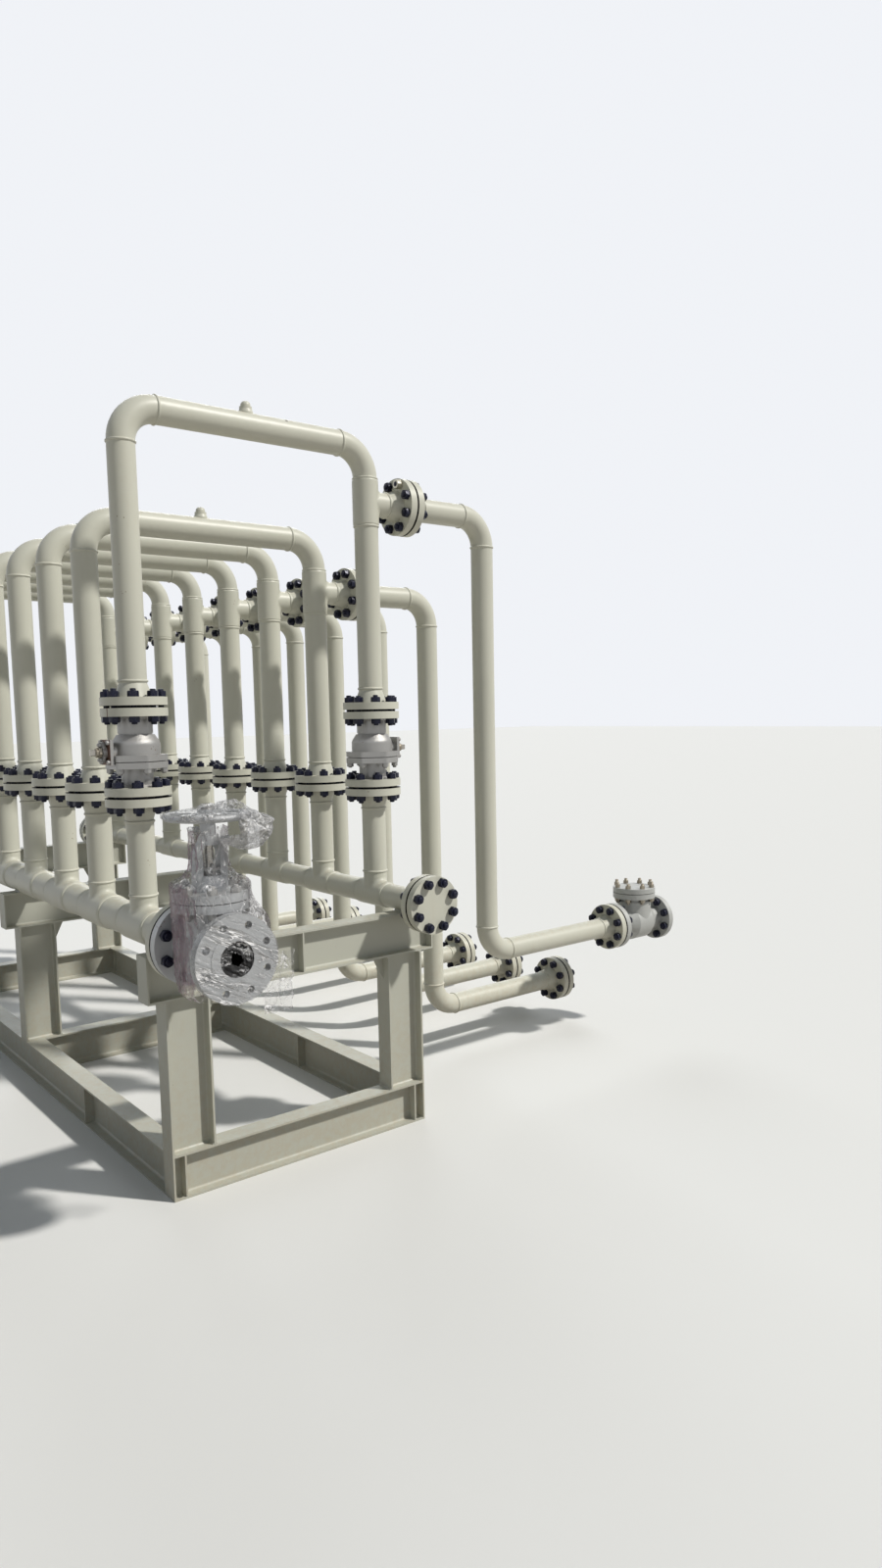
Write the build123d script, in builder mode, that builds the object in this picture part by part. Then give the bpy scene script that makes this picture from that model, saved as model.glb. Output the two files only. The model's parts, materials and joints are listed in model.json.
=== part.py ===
"""Production manifold: eight wells feed two pipe headers that lie on a welded beam skid."""
import os

from build123d import *

# Frame: origin at the middle of the skid's underside, X across towards the inlets,
# Y along the headers away from the gate valve, Z up. Millimetres.

# Skid of rolled H beams
SKID_LENGTH = 3080.0
SKID_WIDTH = 1000.0
BEAM_DEPTH = 150.0
BEAM_WIDTH = 75.0
BEAM_WEB = 5.0
BEAM_FLANGE = 7.0
BEAM_ROOT = 8.0
POST_HEIGHT = 500.0
BEAM_OVERHANG = 55.0
PLATE = 6.0
ANCHOR_POCKET = 40.0
ANCHOR_HOLE = 22.0
GUSSET_REACH = 45.0
GUSSET_HEIGHT = 90.0

# Layout of the piping
UNITS = 8
PITCH = 375.0
HEADER_SPACING = 920.0
DROP_OFFSET = 565.0
RISER_PIPE = 242.0
LOOP_HEIGHT = 935.0
INLET_HEIGHT = 190.0
FIRST_INLET_HEIGHT = 512.0
INLET_REACH = 766.0
GASKET = 4.5

# Vent boss with its plug on top of each loop
VENT_SHIFT = -20.0
VENT_FOOT = 50.0
VENT_RING = 43.0
VENT_RING_FOOT = 10.0
VENT_RING_TOP = 18.0
VENT_PLUG = 34.0
VENT_HEIGHT = 37.0
VENT_ROUND = 13.0

# Three inch class 300 pipe and fittings
PIPE = 88.9
ELBOW = 114.3
TEE_REACH = 85.7
TEE_BARREL = 97.0
TEE_CROTCH = 16.0
FLANGE = 209.6
FLANGE_THICK = 28.4
FLANGE_HUB = 117.3
FLANGE_NECK = 79.4
FACE = 127.0
FACE_HEIGHT = 1.6
BOLT_CIRCLE = 168.1
BOLT_HOLE = 22.2
BOLT_COUNT = 8
BORE = 78.0

# Four inch class 300 pipe and fittings of the left header
BIG_PIPE = 114.3
BIG_TEE_REACH = 104.8
BIG_TEE_OUTLET = 98.4
BIG_TEE_BARREL = 123.0
BIG_FLANGE = 254.0
BIG_FLANGE_THICK = 31.8
BIG_FLANGE_HUB = 146.0
BIG_FLANGE_NECK = 85.7
BIG_FACE = 157.2
BIG_BOLT_CIRCLE = 200.2
BIG_BORE = 102.3
HEADER_PAST_SKID = 26.0
NECK_LAND = 8.0
NECK_SIZES = (FLANGE, FLANGE_THICK, FLANGE_HUB, FACE, FLANGE_NECK, PIPE)
BIG_NECK_SIZES = (BIG_FLANGE, BIG_FLANGE_THICK, BIG_FLANGE_HUB, BIG_FACE, BIG_FLANGE_NECK, BIG_PIPE)
BLIND_SIZES = (FLANGE, FLANGE_THICK, FACE)
BIG_BLIND_SIZES = (BIG_FLANGE, BIG_FLANGE_THICK, BIG_FACE)

# Ball valve, measured down from its upper face
BALL_LENGTH = 282.4
BALL_NECK = 110.0
BALL_GROOVE = 82.0
BALL_GROOVE_WIDTH = 4.0
BALL_GROOVE_DEPTH = 2.5
BALL_SHOULDER = 118.0
BALL_CHAMBER = 152.0
BALL_CHAMBER_START = 112.0
BALL_CHAMBER_ROUND = 30.0
BALL_JOINT_START = 151.0
BALL_JOINT_SPLIT = 171.0
BALL_JOINT_GAP = 2.5
BALL_JOINT_END = 194.0
BALL_JOINT_BOLTS = 6
BALL_JOINT_CIRCLE = 168.0
BALL_JOINT_LAND = 14.0
BALL_TAIL = 100.0
BALL_AXIS = 140.0
HUB_ROUND = 8.0
STEM_BOSS = 54.0
STEM_BOSS_REACH = 89.0
STEM_HOLE_DEPTH = 42.0
STEM_PAD = 80.0
STEM_PAD_THICK = 11.0
STEM = 20.0
STEM_FLAT = 14.0
STEM_FLAT_LENGTH = 30.0
STEM_REACH = 150.0
GLAND = 40.0
GLAND_THICK = 14.0
GLAND_FLANGE = 68.0
GLAND_FLANGE_WIDTH = 32.0
GLAND_FLANGE_THICK = 8.0
RUNNING_GAP = 0.3

# Gate valve, heights above the header's axis
GATE_LENGTH = 304.8
GATE_NECK = 138.0
GATE_NECK_TAPER = 20.0
GATE_BODY_WIDTH = 164.0
GATE_BODY_DEPTH = 122.0
GATE_BODY_DROP = 82.0
GATE_BORE_DEPTH = 126.0
GATE_JOINT = 125.0
BONNET_FLANGE = 222.0
BONNET_FLANGE_THICK = 25.0
BONNET_GAP = 3.0
BONNET_FACE = 172.0
BONNET_NECK = 92.0
BONNET_NECK_TOP = 70.0
BONNET_TOP = 222.0
YOKE_HEIGHT = 338.0
YOKE_SPAN = 98.0
YOKE_ARM = 22.0
YOKE_DEPTH = 34.0
YOKE_HEAD = 60.0
YOKE_HEAD_THICK = 28.0
GATE_STEM = 26.0
GATE_STEM_TOP = 424.0
GATE_STEM_ROOT = 108.0
GATE_STEM_POCKET = 6.0
GATE_STEM_CHAMFER = 3.0
WHEEL_HEIGHT = 392.0
WHEEL_DIAMETER = 250.0
WHEEL_RIM = 20.0
WHEEL_HUB = 54.0
WHEEL_HUB_LENGTH = 40.0
WHEEL_SPOKES = 4
WHEEL_SPOKE = 16.0
YOKE_SLEEVE = 44.0

# Swing check valve, lengths along the first inlet, heights above its axis
CHECK_LENGTH = 330.0
CHECK_NECK = 112.0
CHECK_NECK_TAPER = 10.0
CHECK_BELLY = 164.0
CHECK_BELLY_LENGTH = 184.0
CHECK_BORE_DEPTH = 106.0
CHECK_SHOULDER = 158.0
CHECK_SHOULDER_HEIGHT = 102.0
CHECK_TOWER = 146.0
CHECK_JOINT = 142.0
CHECK_COVER = 198.0
CHECK_COVER_THICK = 24.0
CHECK_COVER_GAP = 3.0
CHECK_COVER_FACE = 150.0
CHECK_COVER_ROUND = 3.0

# Worked out from the sizes above
beam_top = 2 * BEAM_DEPTH + POST_HEIGHT
frame_rows = [-(SKID_LENGTH - BEAM_WIDTH) / 2, 0.0, (SKID_LENGTH - BEAM_WIDTH) / 2]
post_columns = [-(SKID_WIDTH - BEAM_DEPTH) / 2, (SKID_WIDTH - BEAM_DEPTH) / 2]
unit_rows = [(number - (UNITS - 1) / 2) * PITCH for number in range(UNITS)]
left_x = -HEADER_SPACING / 2
right_x = HEADER_SPACING / 2
left_z = beam_top + BIG_PIPE / 2
right_z = beam_top + PIPE / 2
left_face = left_z + BIG_TEE_OUTLET + RISER_PIPE + FLANGE_NECK
right_face = right_z + TEE_REACH + RISER_PIPE + FLANGE_NECK
left_loop_face = left_face + GASKET
right_loop_face = right_face + GASKET
valve_lift = BALL_LENGTH + GASKET
loop_top = left_loop_face + LOOP_HEIGHT
branch_z = loop_top - ELBOW - TEE_REACH
branch_face = right_x + TEE_REACH + FLANGE_NECK
drop_face = branch_face + GASKET
outer_x = right_x + DROP_OFFSET
inlet_face = outer_x + INLET_REACH
left_end = SKID_LENGTH / 2 + HEADER_PAST_SKID + BIG_FLANGE_NECK
right_end = SKID_LENGTH / 2 + HEADER_PAST_SKID + FLANGE_NECK
gate_far = -left_end - GASKET
gate_y = gate_far - GATE_LENGTH / 2
check_face = inlet_face + GASKET
check_x = check_face + CHECK_LENGTH / 2
bonnet_foot = GATE_JOINT + BONNET_FLANGE_THICK
bonnet_top = bonnet_foot + BONNET_GAP + BONNET_FLANGE_THICK
stem_seat = STEM_BOSS_REACH + STEM_PAD_THICK + GLAND_THICK

UP = Vector(0, 0, 1)
DOWN = Vector(0, 0, -1)
RIGHT = Vector(1, 0, 0)
LEFT = Vector(-1, 0, 0)
BACK = Vector(0, 1, 0)
FRONT = Vector(0, -1, 0)


def beam_section():
    """Outline of the rolled H beam, depth along the sketch's Y."""
    Rectangle(BEAM_WIDTH, BEAM_DEPTH)
    side = (BEAM_WIDTH + BEAM_WEB) / 4
    pocket = (BEAM_WIDTH - BEAM_WEB) / 2
    clear = BEAM_DEPTH - 2 * BEAM_FLANGE
    with Locations((-side, 0), (side, 0)):
        Rectangle(pocket, clear, mode=Mode.SUBTRACT)
    corners = [v for v in vertices() if abs(abs(v.X) - BEAM_WEB / 2) < 0.01]
    fillet(corners, BEAM_ROOT)


def beam(start, along, length):
    """A beam from start; it stands on its flange unless it is a post."""
    across = Vector(0, 1, 0) if abs(along.Z) > 0.5 else along.cross(UP)
    with BuildSketch(Plane(origin=start, x_dir=across, z_dir=along)) as section:
        beam_section()
    extrude(section.sketch, amount=length)


def plate(centre, size):
    """A flat bar given by its middle and its three sizes."""
    with Locations(centre):
        Box(*size)


def web_plates(row, stations, height):
    """Stiffeners on both sides of a cross beam's web."""
    pocket = (BEAM_WIDTH - BEAM_WEB) / 2
    for station in stations:
        for lip in (-1, 1):
            centre = (station, row + lip * (BEAM_WEB + pocket) / 2, height + BEAM_DEPTH / 2)
            plate(centre, (PLATE, pocket, BEAM_DEPTH - 2 * BEAM_FLANGE))


def square_to(axis):
    """Any direction at right angles to an axis."""
    return Vector(1, 0, 0) if abs(axis.X) < 0.5 else Vector(0, 1, 0)


def turned(origin, axis, points):
    """Turn an outline of (radius, distance along the axis) points about the axis."""
    radial = square_to(axis)
    with BuildSketch(Plane(origin=origin, x_dir=radial, z_dir=radial.cross(axis))) as outline:
        with BuildLine():
            Polyline(*points, close=True)
        make_face()
    revolve(outline.sketch, axis=Axis(origin, axis))


def weld_neck(origin, axis, big=False):
    """A weld neck flange: raised face at origin, neck towards the axis direction."""
    outer, thick, hub, face, neck, pipe = BIG_NECK_SIZES if big else NECK_SIZES
    turned(origin, axis, [
        (0, 0), (face / 2, 0), (face / 2, FACE_HEIGHT), (outer / 2, FACE_HEIGHT), (outer / 2, thick),
        (hub / 2, thick), (pipe / 2, neck - NECK_LAND), (pipe / 2, neck), (0, neck)])


def blind(origin, axis, sizes):
    """A blind flange whose raised face lies at origin."""
    outer, thick, face = sizes
    turned(origin, axis, [
        (0, 0), (face / 2, 0), (face / 2, FACE_HEIGHT), (outer / 2, FACE_HEIGHT),
        (outer / 2, thick), (0, thick)])


def rod(origin, axis, diameter, length):
    """A round bar or pipe run from origin."""
    with BuildSketch(Plane(origin=origin, x_dir=square_to(axis), z_dir=axis)) as section:
        Circle(diameter / 2)
    extrude(section.sketch, amount=length)


def crotch():
    """Round the saddle line where a tee's outlet leaves its barrel."""
    saddle = edges(Select.LAST).filter_by(lambda e: e.geom_type not in (GeomType.LINE, GeomType.CIRCLE))
    fillet(saddle, TEE_CROTCH)


def tee_barrel(axis, reach, barrel, pipe):
    """The barrel of a forged tee, a little fatter than the pipe between its weld ends."""
    taper = barrel - pipe
    turned(axis * -reach, axis, [
        (0, 0), (pipe / 2, 0), (barrel / 2, taper), (barrel / 2, 2 * reach - taper),
        (pipe / 2, 2 * reach), (0, 2 * reach)])


def flange_end():
    """Outline of a valve's end flange from its raised face to the back of its rim."""
    return [
        (0, 0), (FACE / 2, 0), (FACE / 2, FACE_HEIGHT),
        (FLANGE / 2, FACE_HEIGHT), (FLANGE / 2, FLANGE_THICK)]


def far_end(length, outline):
    """The same outline as seen from a valve's other end."""
    return [(radius, length - along) for radius, along in reversed(outline)]


def circles(plane, places, diameter, depth):
    """Cut round holes into a face, at points of its plane."""
    with BuildSketch(plane) as holes:
        with places:
            Circle(diameter / 2)
    extrude(holes.sketch, amount=-depth, mode=Mode.SUBTRACT)


def ring(origin, axis, outer):
    """A spiral wound gasket as a flat disc."""
    rod(origin, axis, outer, GASKET)


def save(piece, name):
    """Label a finished piece and write it."""
    piece.label = name
    export_step(piece, f"parts/{name}.step")


os.makedirs("parts", exist_ok=True)

# Skid base
inner_length = SKID_LENGTH - 2 * BEAM_WIDTH
for side, name in ((-1, "base_beam_left"), (1, "base_beam_right")):
    with BuildPart() as base_beam:
        line = side * (SKID_WIDTH - BEAM_WIDTH) / 2
        beam(Vector(line, -inner_length / 2, BEAM_DEPTH / 2), BACK, inner_length)
        for row in (-inner_length / 4, inner_length / 4):
            for lip in (-1, 1):
                pocket = (BEAM_WIDTH - BEAM_WEB) / 2
                centre = (line + lip * (BEAM_WEB + pocket) / 2, row, BEAM_DEPTH / 2)
                plate(centre, (pocket, PLATE, BEAM_DEPTH - 2 * BEAM_FLANGE))
    save(base_beam.part, name)

for row, name in ((frame_rows[0], "base_cross_front"), (frame_rows[2], "base_cross_rear")):
    with BuildPart() as base_cross:
        beam(Vector(-SKID_WIDTH / 2, row, BEAM_DEPTH / 2), RIGHT, SKID_WIDTH)
        ends = SKID_WIDTH / 2 - PLATE / 2
        web_plates(row, (-ends, ends, -ends + ANCHOR_POCKET, ends - ANCHOR_POCKET), 0)
        hole_x = ends - ANCHOR_POCKET / 2
        hole_y = row + (BEAM_WIDTH + BEAM_WEB) / 4 * (1 if row > 0 else -1)
        with BuildSketch(Plane.XY):
            with Locations((-hole_x, hole_y), (hole_x, hole_y)):
                Circle(ANCHOR_HOLE / 2)
        extrude(amount=BEAM_FLANGE, mode=Mode.SUBTRACT)
    save(base_cross.part, name)

with BuildPart() as base_cross_middle:
    span = SKID_WIDTH - 2 * BEAM_WIDTH
    beam(Vector(-span / 2, frame_rows[1], BEAM_DEPTH / 2), RIGHT, span)
save(base_cross_middle.part, "base_cross_middle")

# Posts, upper beams and their gussets
for row, place in zip(frame_rows, ("front", "middle", "rear")):
    with BuildPart() as posts:
        for column in post_columns:
            beam(Vector(column, row, BEAM_DEPTH), UP, POST_HEIGHT)
    save(posts.part, f"posts_{place}")

    with BuildPart() as top_beam:
        reach = SKID_WIDTH / 2 + BEAM_OVERHANG
        height = BEAM_DEPTH + POST_HEIGHT
        beam(Vector(-reach, row, height + BEAM_DEPTH / 2), RIGHT, 2 * reach)
        web_plates(row, (-reach + PLATE / 2, 0, reach - PLATE / 2), height)
    save(top_beam.part, f"top_beam_{place}")

with BuildPart() as gussets:
    for row in frame_rows:
        with BuildSketch(Plane(origin=(0, row + PLATE / 2, beam_top - BEAM_DEPTH), x_dir=RIGHT, z_dir=FRONT)):
            inner = SKID_WIDTH / 2 - BEAM_DEPTH
            for side in (-1, 1):
                with BuildLine():
                    Polyline((side * inner, 0), (side * (inner - GUSSET_REACH), 0),
                             (side * inner, -GUSSET_HEIGHT),
                             close=True)
                make_face()
        extrude(amount=PLATE)
save(gussets.part, "gusset_plates")

# Forged tees, made once about the origin
with BuildPart() as small_tee:
    tee_barrel(BACK, TEE_REACH, TEE_BARREL, PIPE)
    rod(Vector(0, 0, 0), UP, PIPE, TEE_REACH)
    crotch()

with BuildPart() as big_tee:
    tee_barrel(BACK, BIG_TEE_REACH, BIG_TEE_BARREL, BIG_PIPE)
    rod(Vector(0, 0, 0), UP, PIPE, BIG_TEE_OUTLET)
    crotch()

# Headers
with BuildPart() as header_left:
    rod(Vector(left_x, -left_end + BIG_FLANGE_NECK, left_z), BACK, BIG_PIPE, 2 * (left_end - BIG_FLANGE_NECK))
    with Locations(*[(left_x, row, left_z) for row in unit_rows]):
        add(big_tee.part)
    weld_neck(Vector(left_x, -left_end, left_z), BACK, big=True)
    weld_neck(Vector(left_x, left_end, left_z), FRONT, big=True)
save(header_left.part, "header_left")

with BuildPart() as header_right:
    rod(Vector(right_x, -right_end + FLANGE_NECK, right_z), BACK, PIPE, 2 * (right_end - FLANGE_NECK))
    with Locations(*[(right_x, row, right_z) for row in unit_rows]):
        add(small_tee.part)
    weld_neck(Vector(right_x, -right_end, right_z), BACK)
    weld_neck(Vector(right_x, right_end, right_z), FRONT)
save(header_right.part, "header_right")

with BuildPart() as header_blinds:
    blind(Vector(left_x, left_end + GASKET, left_z), BACK, BIG_BLIND_SIZES)
    blind(Vector(right_x, right_end + GASKET, right_z), BACK, BLIND_SIZES)
    blind(Vector(right_x, -right_end - GASKET, right_z), FRONT, BLIND_SIZES)
save(header_blinds.part, "header_blinds")

# Risers from the headers to the first flange pairs
for column, face, name in ((left_x, left_face, "risers_left"), (right_x, right_face, "risers_right")):
    with BuildPart() as risers:
        for row in unit_rows:
            rod(Vector(column, row, face - FLANGE_NECK), DOWN, PIPE, RISER_PIPE)
            weld_neck(Vector(column, row, face), DOWN)
    save(risers.part, name)

# Inverted loop with its outlet tee, made once for the second unit's height
with BuildPart() as loop_spool:
    with BuildLine() as loop_route:
        FilletPolyline(
            (left_x, 0, left_loop_face + FLANGE_NECK), (left_x, 0, loop_top),
            (right_x, 0, loop_top), (right_x, 0, right_loop_face + FLANGE_NECK), radius=ELBOW)
    with BuildSketch(Plane(origin=(left_x, 0, left_loop_face + FLANGE_NECK), z_dir=UP)):
        Circle(PIPE / 2)
    sweep(path=loop_route.line)
    weld_neck(Vector(left_x, 0, left_loop_face), UP)
    weld_neck(Vector(right_x, 0, right_loop_face), UP)
    weld_neck(Vector(branch_face, 0, branch_z), LEFT)
    with Locations(Plane(origin=(right_x, 0, branch_z), x_dir=BACK, z_dir=RIGHT)):
        add(small_tee.part)
    turned(Vector(VENT_SHIFT, 0, loop_top), UP, [
        (0, 0), (VENT_FOOT / 2, 0), (VENT_FOOT / 2, PIPE / 2), (VENT_RING / 2, PIPE / 2 + VENT_RING_FOOT),
        (VENT_RING / 2, PIPE / 2 + VENT_RING_TOP), (VENT_PLUG / 2, PIPE / 2 + VENT_RING_TOP),
        (VENT_PLUG / 2, PIPE / 2 + VENT_HEIGHT), (0, PIPE / 2 + VENT_HEIGHT)])
    fillet(edges().sort_by(Axis.Z)[-1], VENT_ROUND)


def drop_spool(lift, inlet_z):
    """A drop leg from the branch, raised by lift, down to its inlet."""
    top = branch_z + lift
    with BuildPart() as spool:
        with BuildLine() as drop_route:
            FilletPolyline(
                (drop_face + FLANGE_NECK, 0, top), (outer_x, 0, top), (outer_x, 0, inlet_z),
                (inlet_face - FLANGE_NECK, 0, inlet_z), radius=ELBOW)
        with BuildSketch(Plane(origin=(drop_face + FLANGE_NECK, 0, top), z_dir=RIGHT)) as section:
            Circle(PIPE / 2)
        sweep(section.sketch, path=drop_route.line)
        weld_neck(Vector(drop_face, 0, top), RIGHT)
        weld_neck(Vector(inlet_face, 0, inlet_z), LEFT)
    return spool.part


# Loops and drop legs; the first unit stands on its ball valves
first_spool = drop_spool(valve_lift, FIRST_INLET_HEIGHT)
other_spool = drop_spool(0, INLET_HEIGHT)
for number, row in enumerate(unit_rows, start=1):
    with BuildPart() as loop:
        with Locations((0, row, valve_lift if number == 1 else 0)):
            add(loop_spool.part)
    save(loop.part, f"loop_{number}")
    with BuildPart() as drop_leg:
        with Locations((0, row, 0)):
            add(first_spool if number == 1 else other_spool)
    save(drop_leg.part, f"drop_leg_{number}")

with BuildPart() as inlet_blinds:
    for row in unit_rows[1:]:
        blind(Vector(inlet_face + GASKET, row, INLET_HEIGHT), RIGHT, BLIND_SIZES)
save(inlet_blinds.part, "inlet_blinds")

# Gaskets
with BuildPart() as riser_gaskets:
    for column, face in ((left_x, left_face), (right_x, right_face)):
        for row in unit_rows:
            ring(Vector(column, row, face), UP, FACE)
        ring(Vector(column, unit_rows[0], face + valve_lift), UP, FACE)
save(riser_gaskets.part, "riser_gaskets")

with BuildPart() as branch_gaskets:
    for number, row in enumerate(unit_rows, start=1):
        first = number == 1
        ring(Vector(branch_face, row, branch_z + (valve_lift if first else 0)), RIGHT, FACE)
        ring(Vector(inlet_face, row, FIRST_INLET_HEIGHT if first else INLET_HEIGHT), RIGHT, FACE)
save(branch_gaskets.part, "branch_gaskets")

with BuildPart() as header_gaskets:
    ring(Vector(left_x, left_end, left_z), BACK, BIG_FACE)
    ring(Vector(left_x, -left_end, left_z), FRONT, BIG_FACE)
    ring(Vector(right_x, right_end, right_z), BACK, FACE)
    ring(Vector(right_x, -right_end, right_z), FRONT, FACE)
save(header_gaskets.part, "header_gaskets")



def ball_joint(plane, thick):
    """The six sided flange, round at its bolts, that closes a ball valve's body."""
    with BuildSketch(plane) as outline:
        RegularPolygon(radius=BALL_JOINT_CIRCLE / 2, side_count=BALL_JOINT_BOLTS)
        offset(amount=BALL_JOINT_LAND, kind=Kind.ARC)
    extrude(outline.sketch, amount=thick)


# Ball valves of the first unit, stems turned outwards
neck_foot = FLANGE_THICK + HUB_ROUND
for column, face, out, place in ((left_x, left_face, LEFT, "left"), (right_x, right_face, RIGHT, "right")):
    top = Vector(column, unit_rows[0], face + GASKET + BALL_LENGTH)
    axis_point = top + DOWN * BALL_AXIS
    pad_face = axis_point + out * (STEM_BOSS_REACH + STEM_PAD_THICK)
    with BuildPart() as valve_body:
        turned(top, DOWN, flange_end() + [
            (BALL_NECK / 2 + HUB_ROUND, FLANGE_THICK), (BALL_NECK / 2, neck_foot),
            (BALL_NECK / 2, BALL_GROOVE),
            (BALL_NECK / 2 - BALL_GROOVE_DEPTH, BALL_GROOVE),
            (BALL_NECK / 2 - BALL_GROOVE_DEPTH, BALL_GROOVE + BALL_GROOVE_WIDTH),
            (BALL_SHOULDER / 2, BALL_GROOVE + BALL_GROOVE_WIDTH), (BALL_CHAMBER / 2, BALL_CHAMBER_START),
            (BALL_CHAMBER / 2, BALL_JOINT_START), (0, BALL_JOINT_START)])
        shoulder = edges().filter_by(GeomType.CIRCLE).filter_by(
            lambda edge: abs(edge.center().Z - top.Z + BALL_CHAMBER_START) < RUNNING_GAP)
        fillet(shoulder, BALL_CHAMBER_ROUND)
        ball_joint(Plane(origin=top + DOWN * BALL_JOINT_START, x_dir=FRONT, z_dir=DOWN),
                   BALL_JOINT_SPLIT - BALL_JOINT_START)
        rod(axis_point, out, STEM_BOSS, STEM_BOSS_REACH)
        plate(pad_face - out * STEM_PAD_THICK / 2, (STEM_PAD_THICK, STEM_PAD, STEM_PAD))
        rod(pad_face, out, GLAND, GLAND_THICK)
        gland_foot = pad_face + out * (GLAND_THICK - GLAND_FLANGE_THICK)
        with BuildSketch(Plane(origin=gland_foot, x_dir=UP, z_dir=out)) as gland:
            SlotOverall(GLAND_FLANGE, GLAND_FLANGE_WIDTH)
        extrude(gland.sketch, amount=GLAND_FLANGE_THICK)
        circles(Plane(origin=axis_point + out * stem_seat, x_dir=BACK, z_dir=out), Locations((0, 0)),
                STEM + 2 * RUNNING_GAP, STEM_HOLE_DEPTH)
    save(valve_body.part, f"ball_valve_{place}_body")

    with BuildPart() as valve_tail:
        tail_ring = BALL_LENGTH - BALL_JOINT_END
        tail_top = BALL_LENGTH - BALL_JOINT_SPLIT
        turned(top + DOWN * BALL_LENGTH, UP, flange_end() + [
            (BALL_TAIL / 2 + HUB_ROUND, FLANGE_THICK), (BALL_TAIL / 2, neck_foot),
            (BALL_TAIL / 2, tail_top), (0, tail_top)])
        ball_joint(Plane(origin=top + DOWN * BALL_JOINT_END, x_dir=FRONT, z_dir=UP),
                   tail_top - BALL_JOINT_GAP - tail_ring)
    save(valve_tail.part, f"ball_valve_{place}_tail")

    with BuildPart() as valve_stem:
        foot = stem_seat - STEM_HOLE_DEPTH + RUNNING_GAP
        rod(axis_point + out * foot, out, STEM, STEM_REACH - foot)
        tip = axis_point + out * (STEM_REACH - STEM_FLAT_LENGTH / 2)
        for side in (-1, 1):
            with Locations(tip + BACK * side * (STEM_FLAT + STEM) / 2):
                Box(STEM_FLAT_LENGTH, STEM, 2 * STEM, mode=Mode.SUBTRACT)
    save(valve_stem.part, f"ball_valve_{place}_stem")

# Gate valve at the near end of the left header
gate_axis = Vector(left_x, gate_y, left_z)
gate_end = [
    (0, 0), (BIG_FACE / 2, 0), (BIG_FACE / 2, FACE_HEIGHT), (BIG_FLANGE / 2, FACE_HEIGHT),
    (BIG_FLANGE / 2, BIG_FLANGE_THICK), (BIG_FLANGE_HUB / 2, BIG_FLANGE_THICK),
    (GATE_NECK / 2, BIG_FLANGE_THICK + GATE_NECK_TAPER)]
gate_outlet = Plane(origin=(left_x, gate_far - GATE_LENGTH, left_z), x_dir=RIGHT, z_dir=FRONT)
stem_hole = GATE_STEM + 2 * RUNNING_GAP
with BuildPart() as gate_body:
    turned(Vector(left_x, gate_far, left_z), FRONT, gate_end + far_end(GATE_LENGTH, gate_end))
    with BuildSketch(Plane.XY.offset(left_z - GATE_BODY_DROP)) as trunk:
        with Locations((left_x, gate_y)):
            Ellipse(GATE_BODY_WIDTH / 2, GATE_BODY_DEPTH / 2)
    extrude(trunk.sketch, amount=GATE_BODY_DROP + GATE_JOINT)
    rod(gate_axis + UP * GATE_JOINT, UP, BONNET_FLANGE, BONNET_FLANGE_THICK)
    circles(gate_outlet, Locations((0, 0)), BIG_BORE, GATE_BORE_DEPTH)
    circles(gate_outlet, PolarLocations(BIG_BOLT_CIRCLE / 2, BOLT_COUNT, start_angle=180 / BOLT_COUNT),
            BOLT_HOLE, BIG_FLANGE_THICK)
    circles(Plane(origin=gate_axis + UP * bonnet_foot, z_dir=UP), Locations((0, 0)), stem_hole,
            bonnet_foot - GATE_STEM_ROOT + GATE_STEM_POCKET)
save(gate_body.part, "gate_valve_body")

with BuildPart() as gate_bonnet:
    rod(gate_axis + UP * bonnet_foot, UP, BONNET_FACE, BONNET_GAP)
    rod(gate_axis + UP * (bonnet_foot + BONNET_GAP), UP, BONNET_FLANGE, BONNET_FLANGE_THICK)
    turned(gate_axis + UP * bonnet_top, UP, [
        (0, 0), (BONNET_NECK / 2, 0), (BONNET_NECK_TOP / 2, BONNET_TOP - bonnet_top),
        (0, BONNET_TOP - bonnet_top)])
    yoke_plane = Plane(origin=gate_axis + BACK * YOKE_DEPTH / 2, x_dir=RIGHT, z_dir=FRONT)
    for side in (-1, 1):
        with BuildSketch(yoke_plane) as yoke_arm:
            with BuildLine():
                head = YOKE_HEIGHT - YOKE_HEAD_THICK
                outer = side * YOKE_SPAN / 2
                inner = side * (YOKE_SPAN / 2 - YOKE_ARM)
                collar = side * YOKE_HEAD / 3
                Polyline((outer, bonnet_top), (outer, head - YOKE_ARM), (collar, head + YOKE_ARM),
                         (collar, head), (inner, head - YOKE_ARM), (inner, bonnet_top), close=True)
            make_face()
        extrude(yoke_arm.sketch, amount=YOKE_DEPTH)
    rod(gate_axis + UP * (YOKE_HEIGHT - YOKE_HEAD_THICK), UP, YOKE_HEAD, YOKE_HEAD_THICK)
    circles(Plane(origin=gate_axis + UP * YOKE_HEIGHT, z_dir=UP), Locations((0, 0)), stem_hole,
            YOKE_HEIGHT - bonnet_foot)
save(gate_bonnet.part, "gate_valve_bonnet")

with BuildPart() as gate_stem:
    rod(gate_axis + UP * GATE_STEM_ROOT, UP, GATE_STEM, GATE_STEM_TOP - GATE_STEM_ROOT)
    chamfer(edges().sort_by(Axis.Z)[-1], GATE_STEM_CHAMFER)
save(gate_stem.part, "gate_valve_stem")

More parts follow.
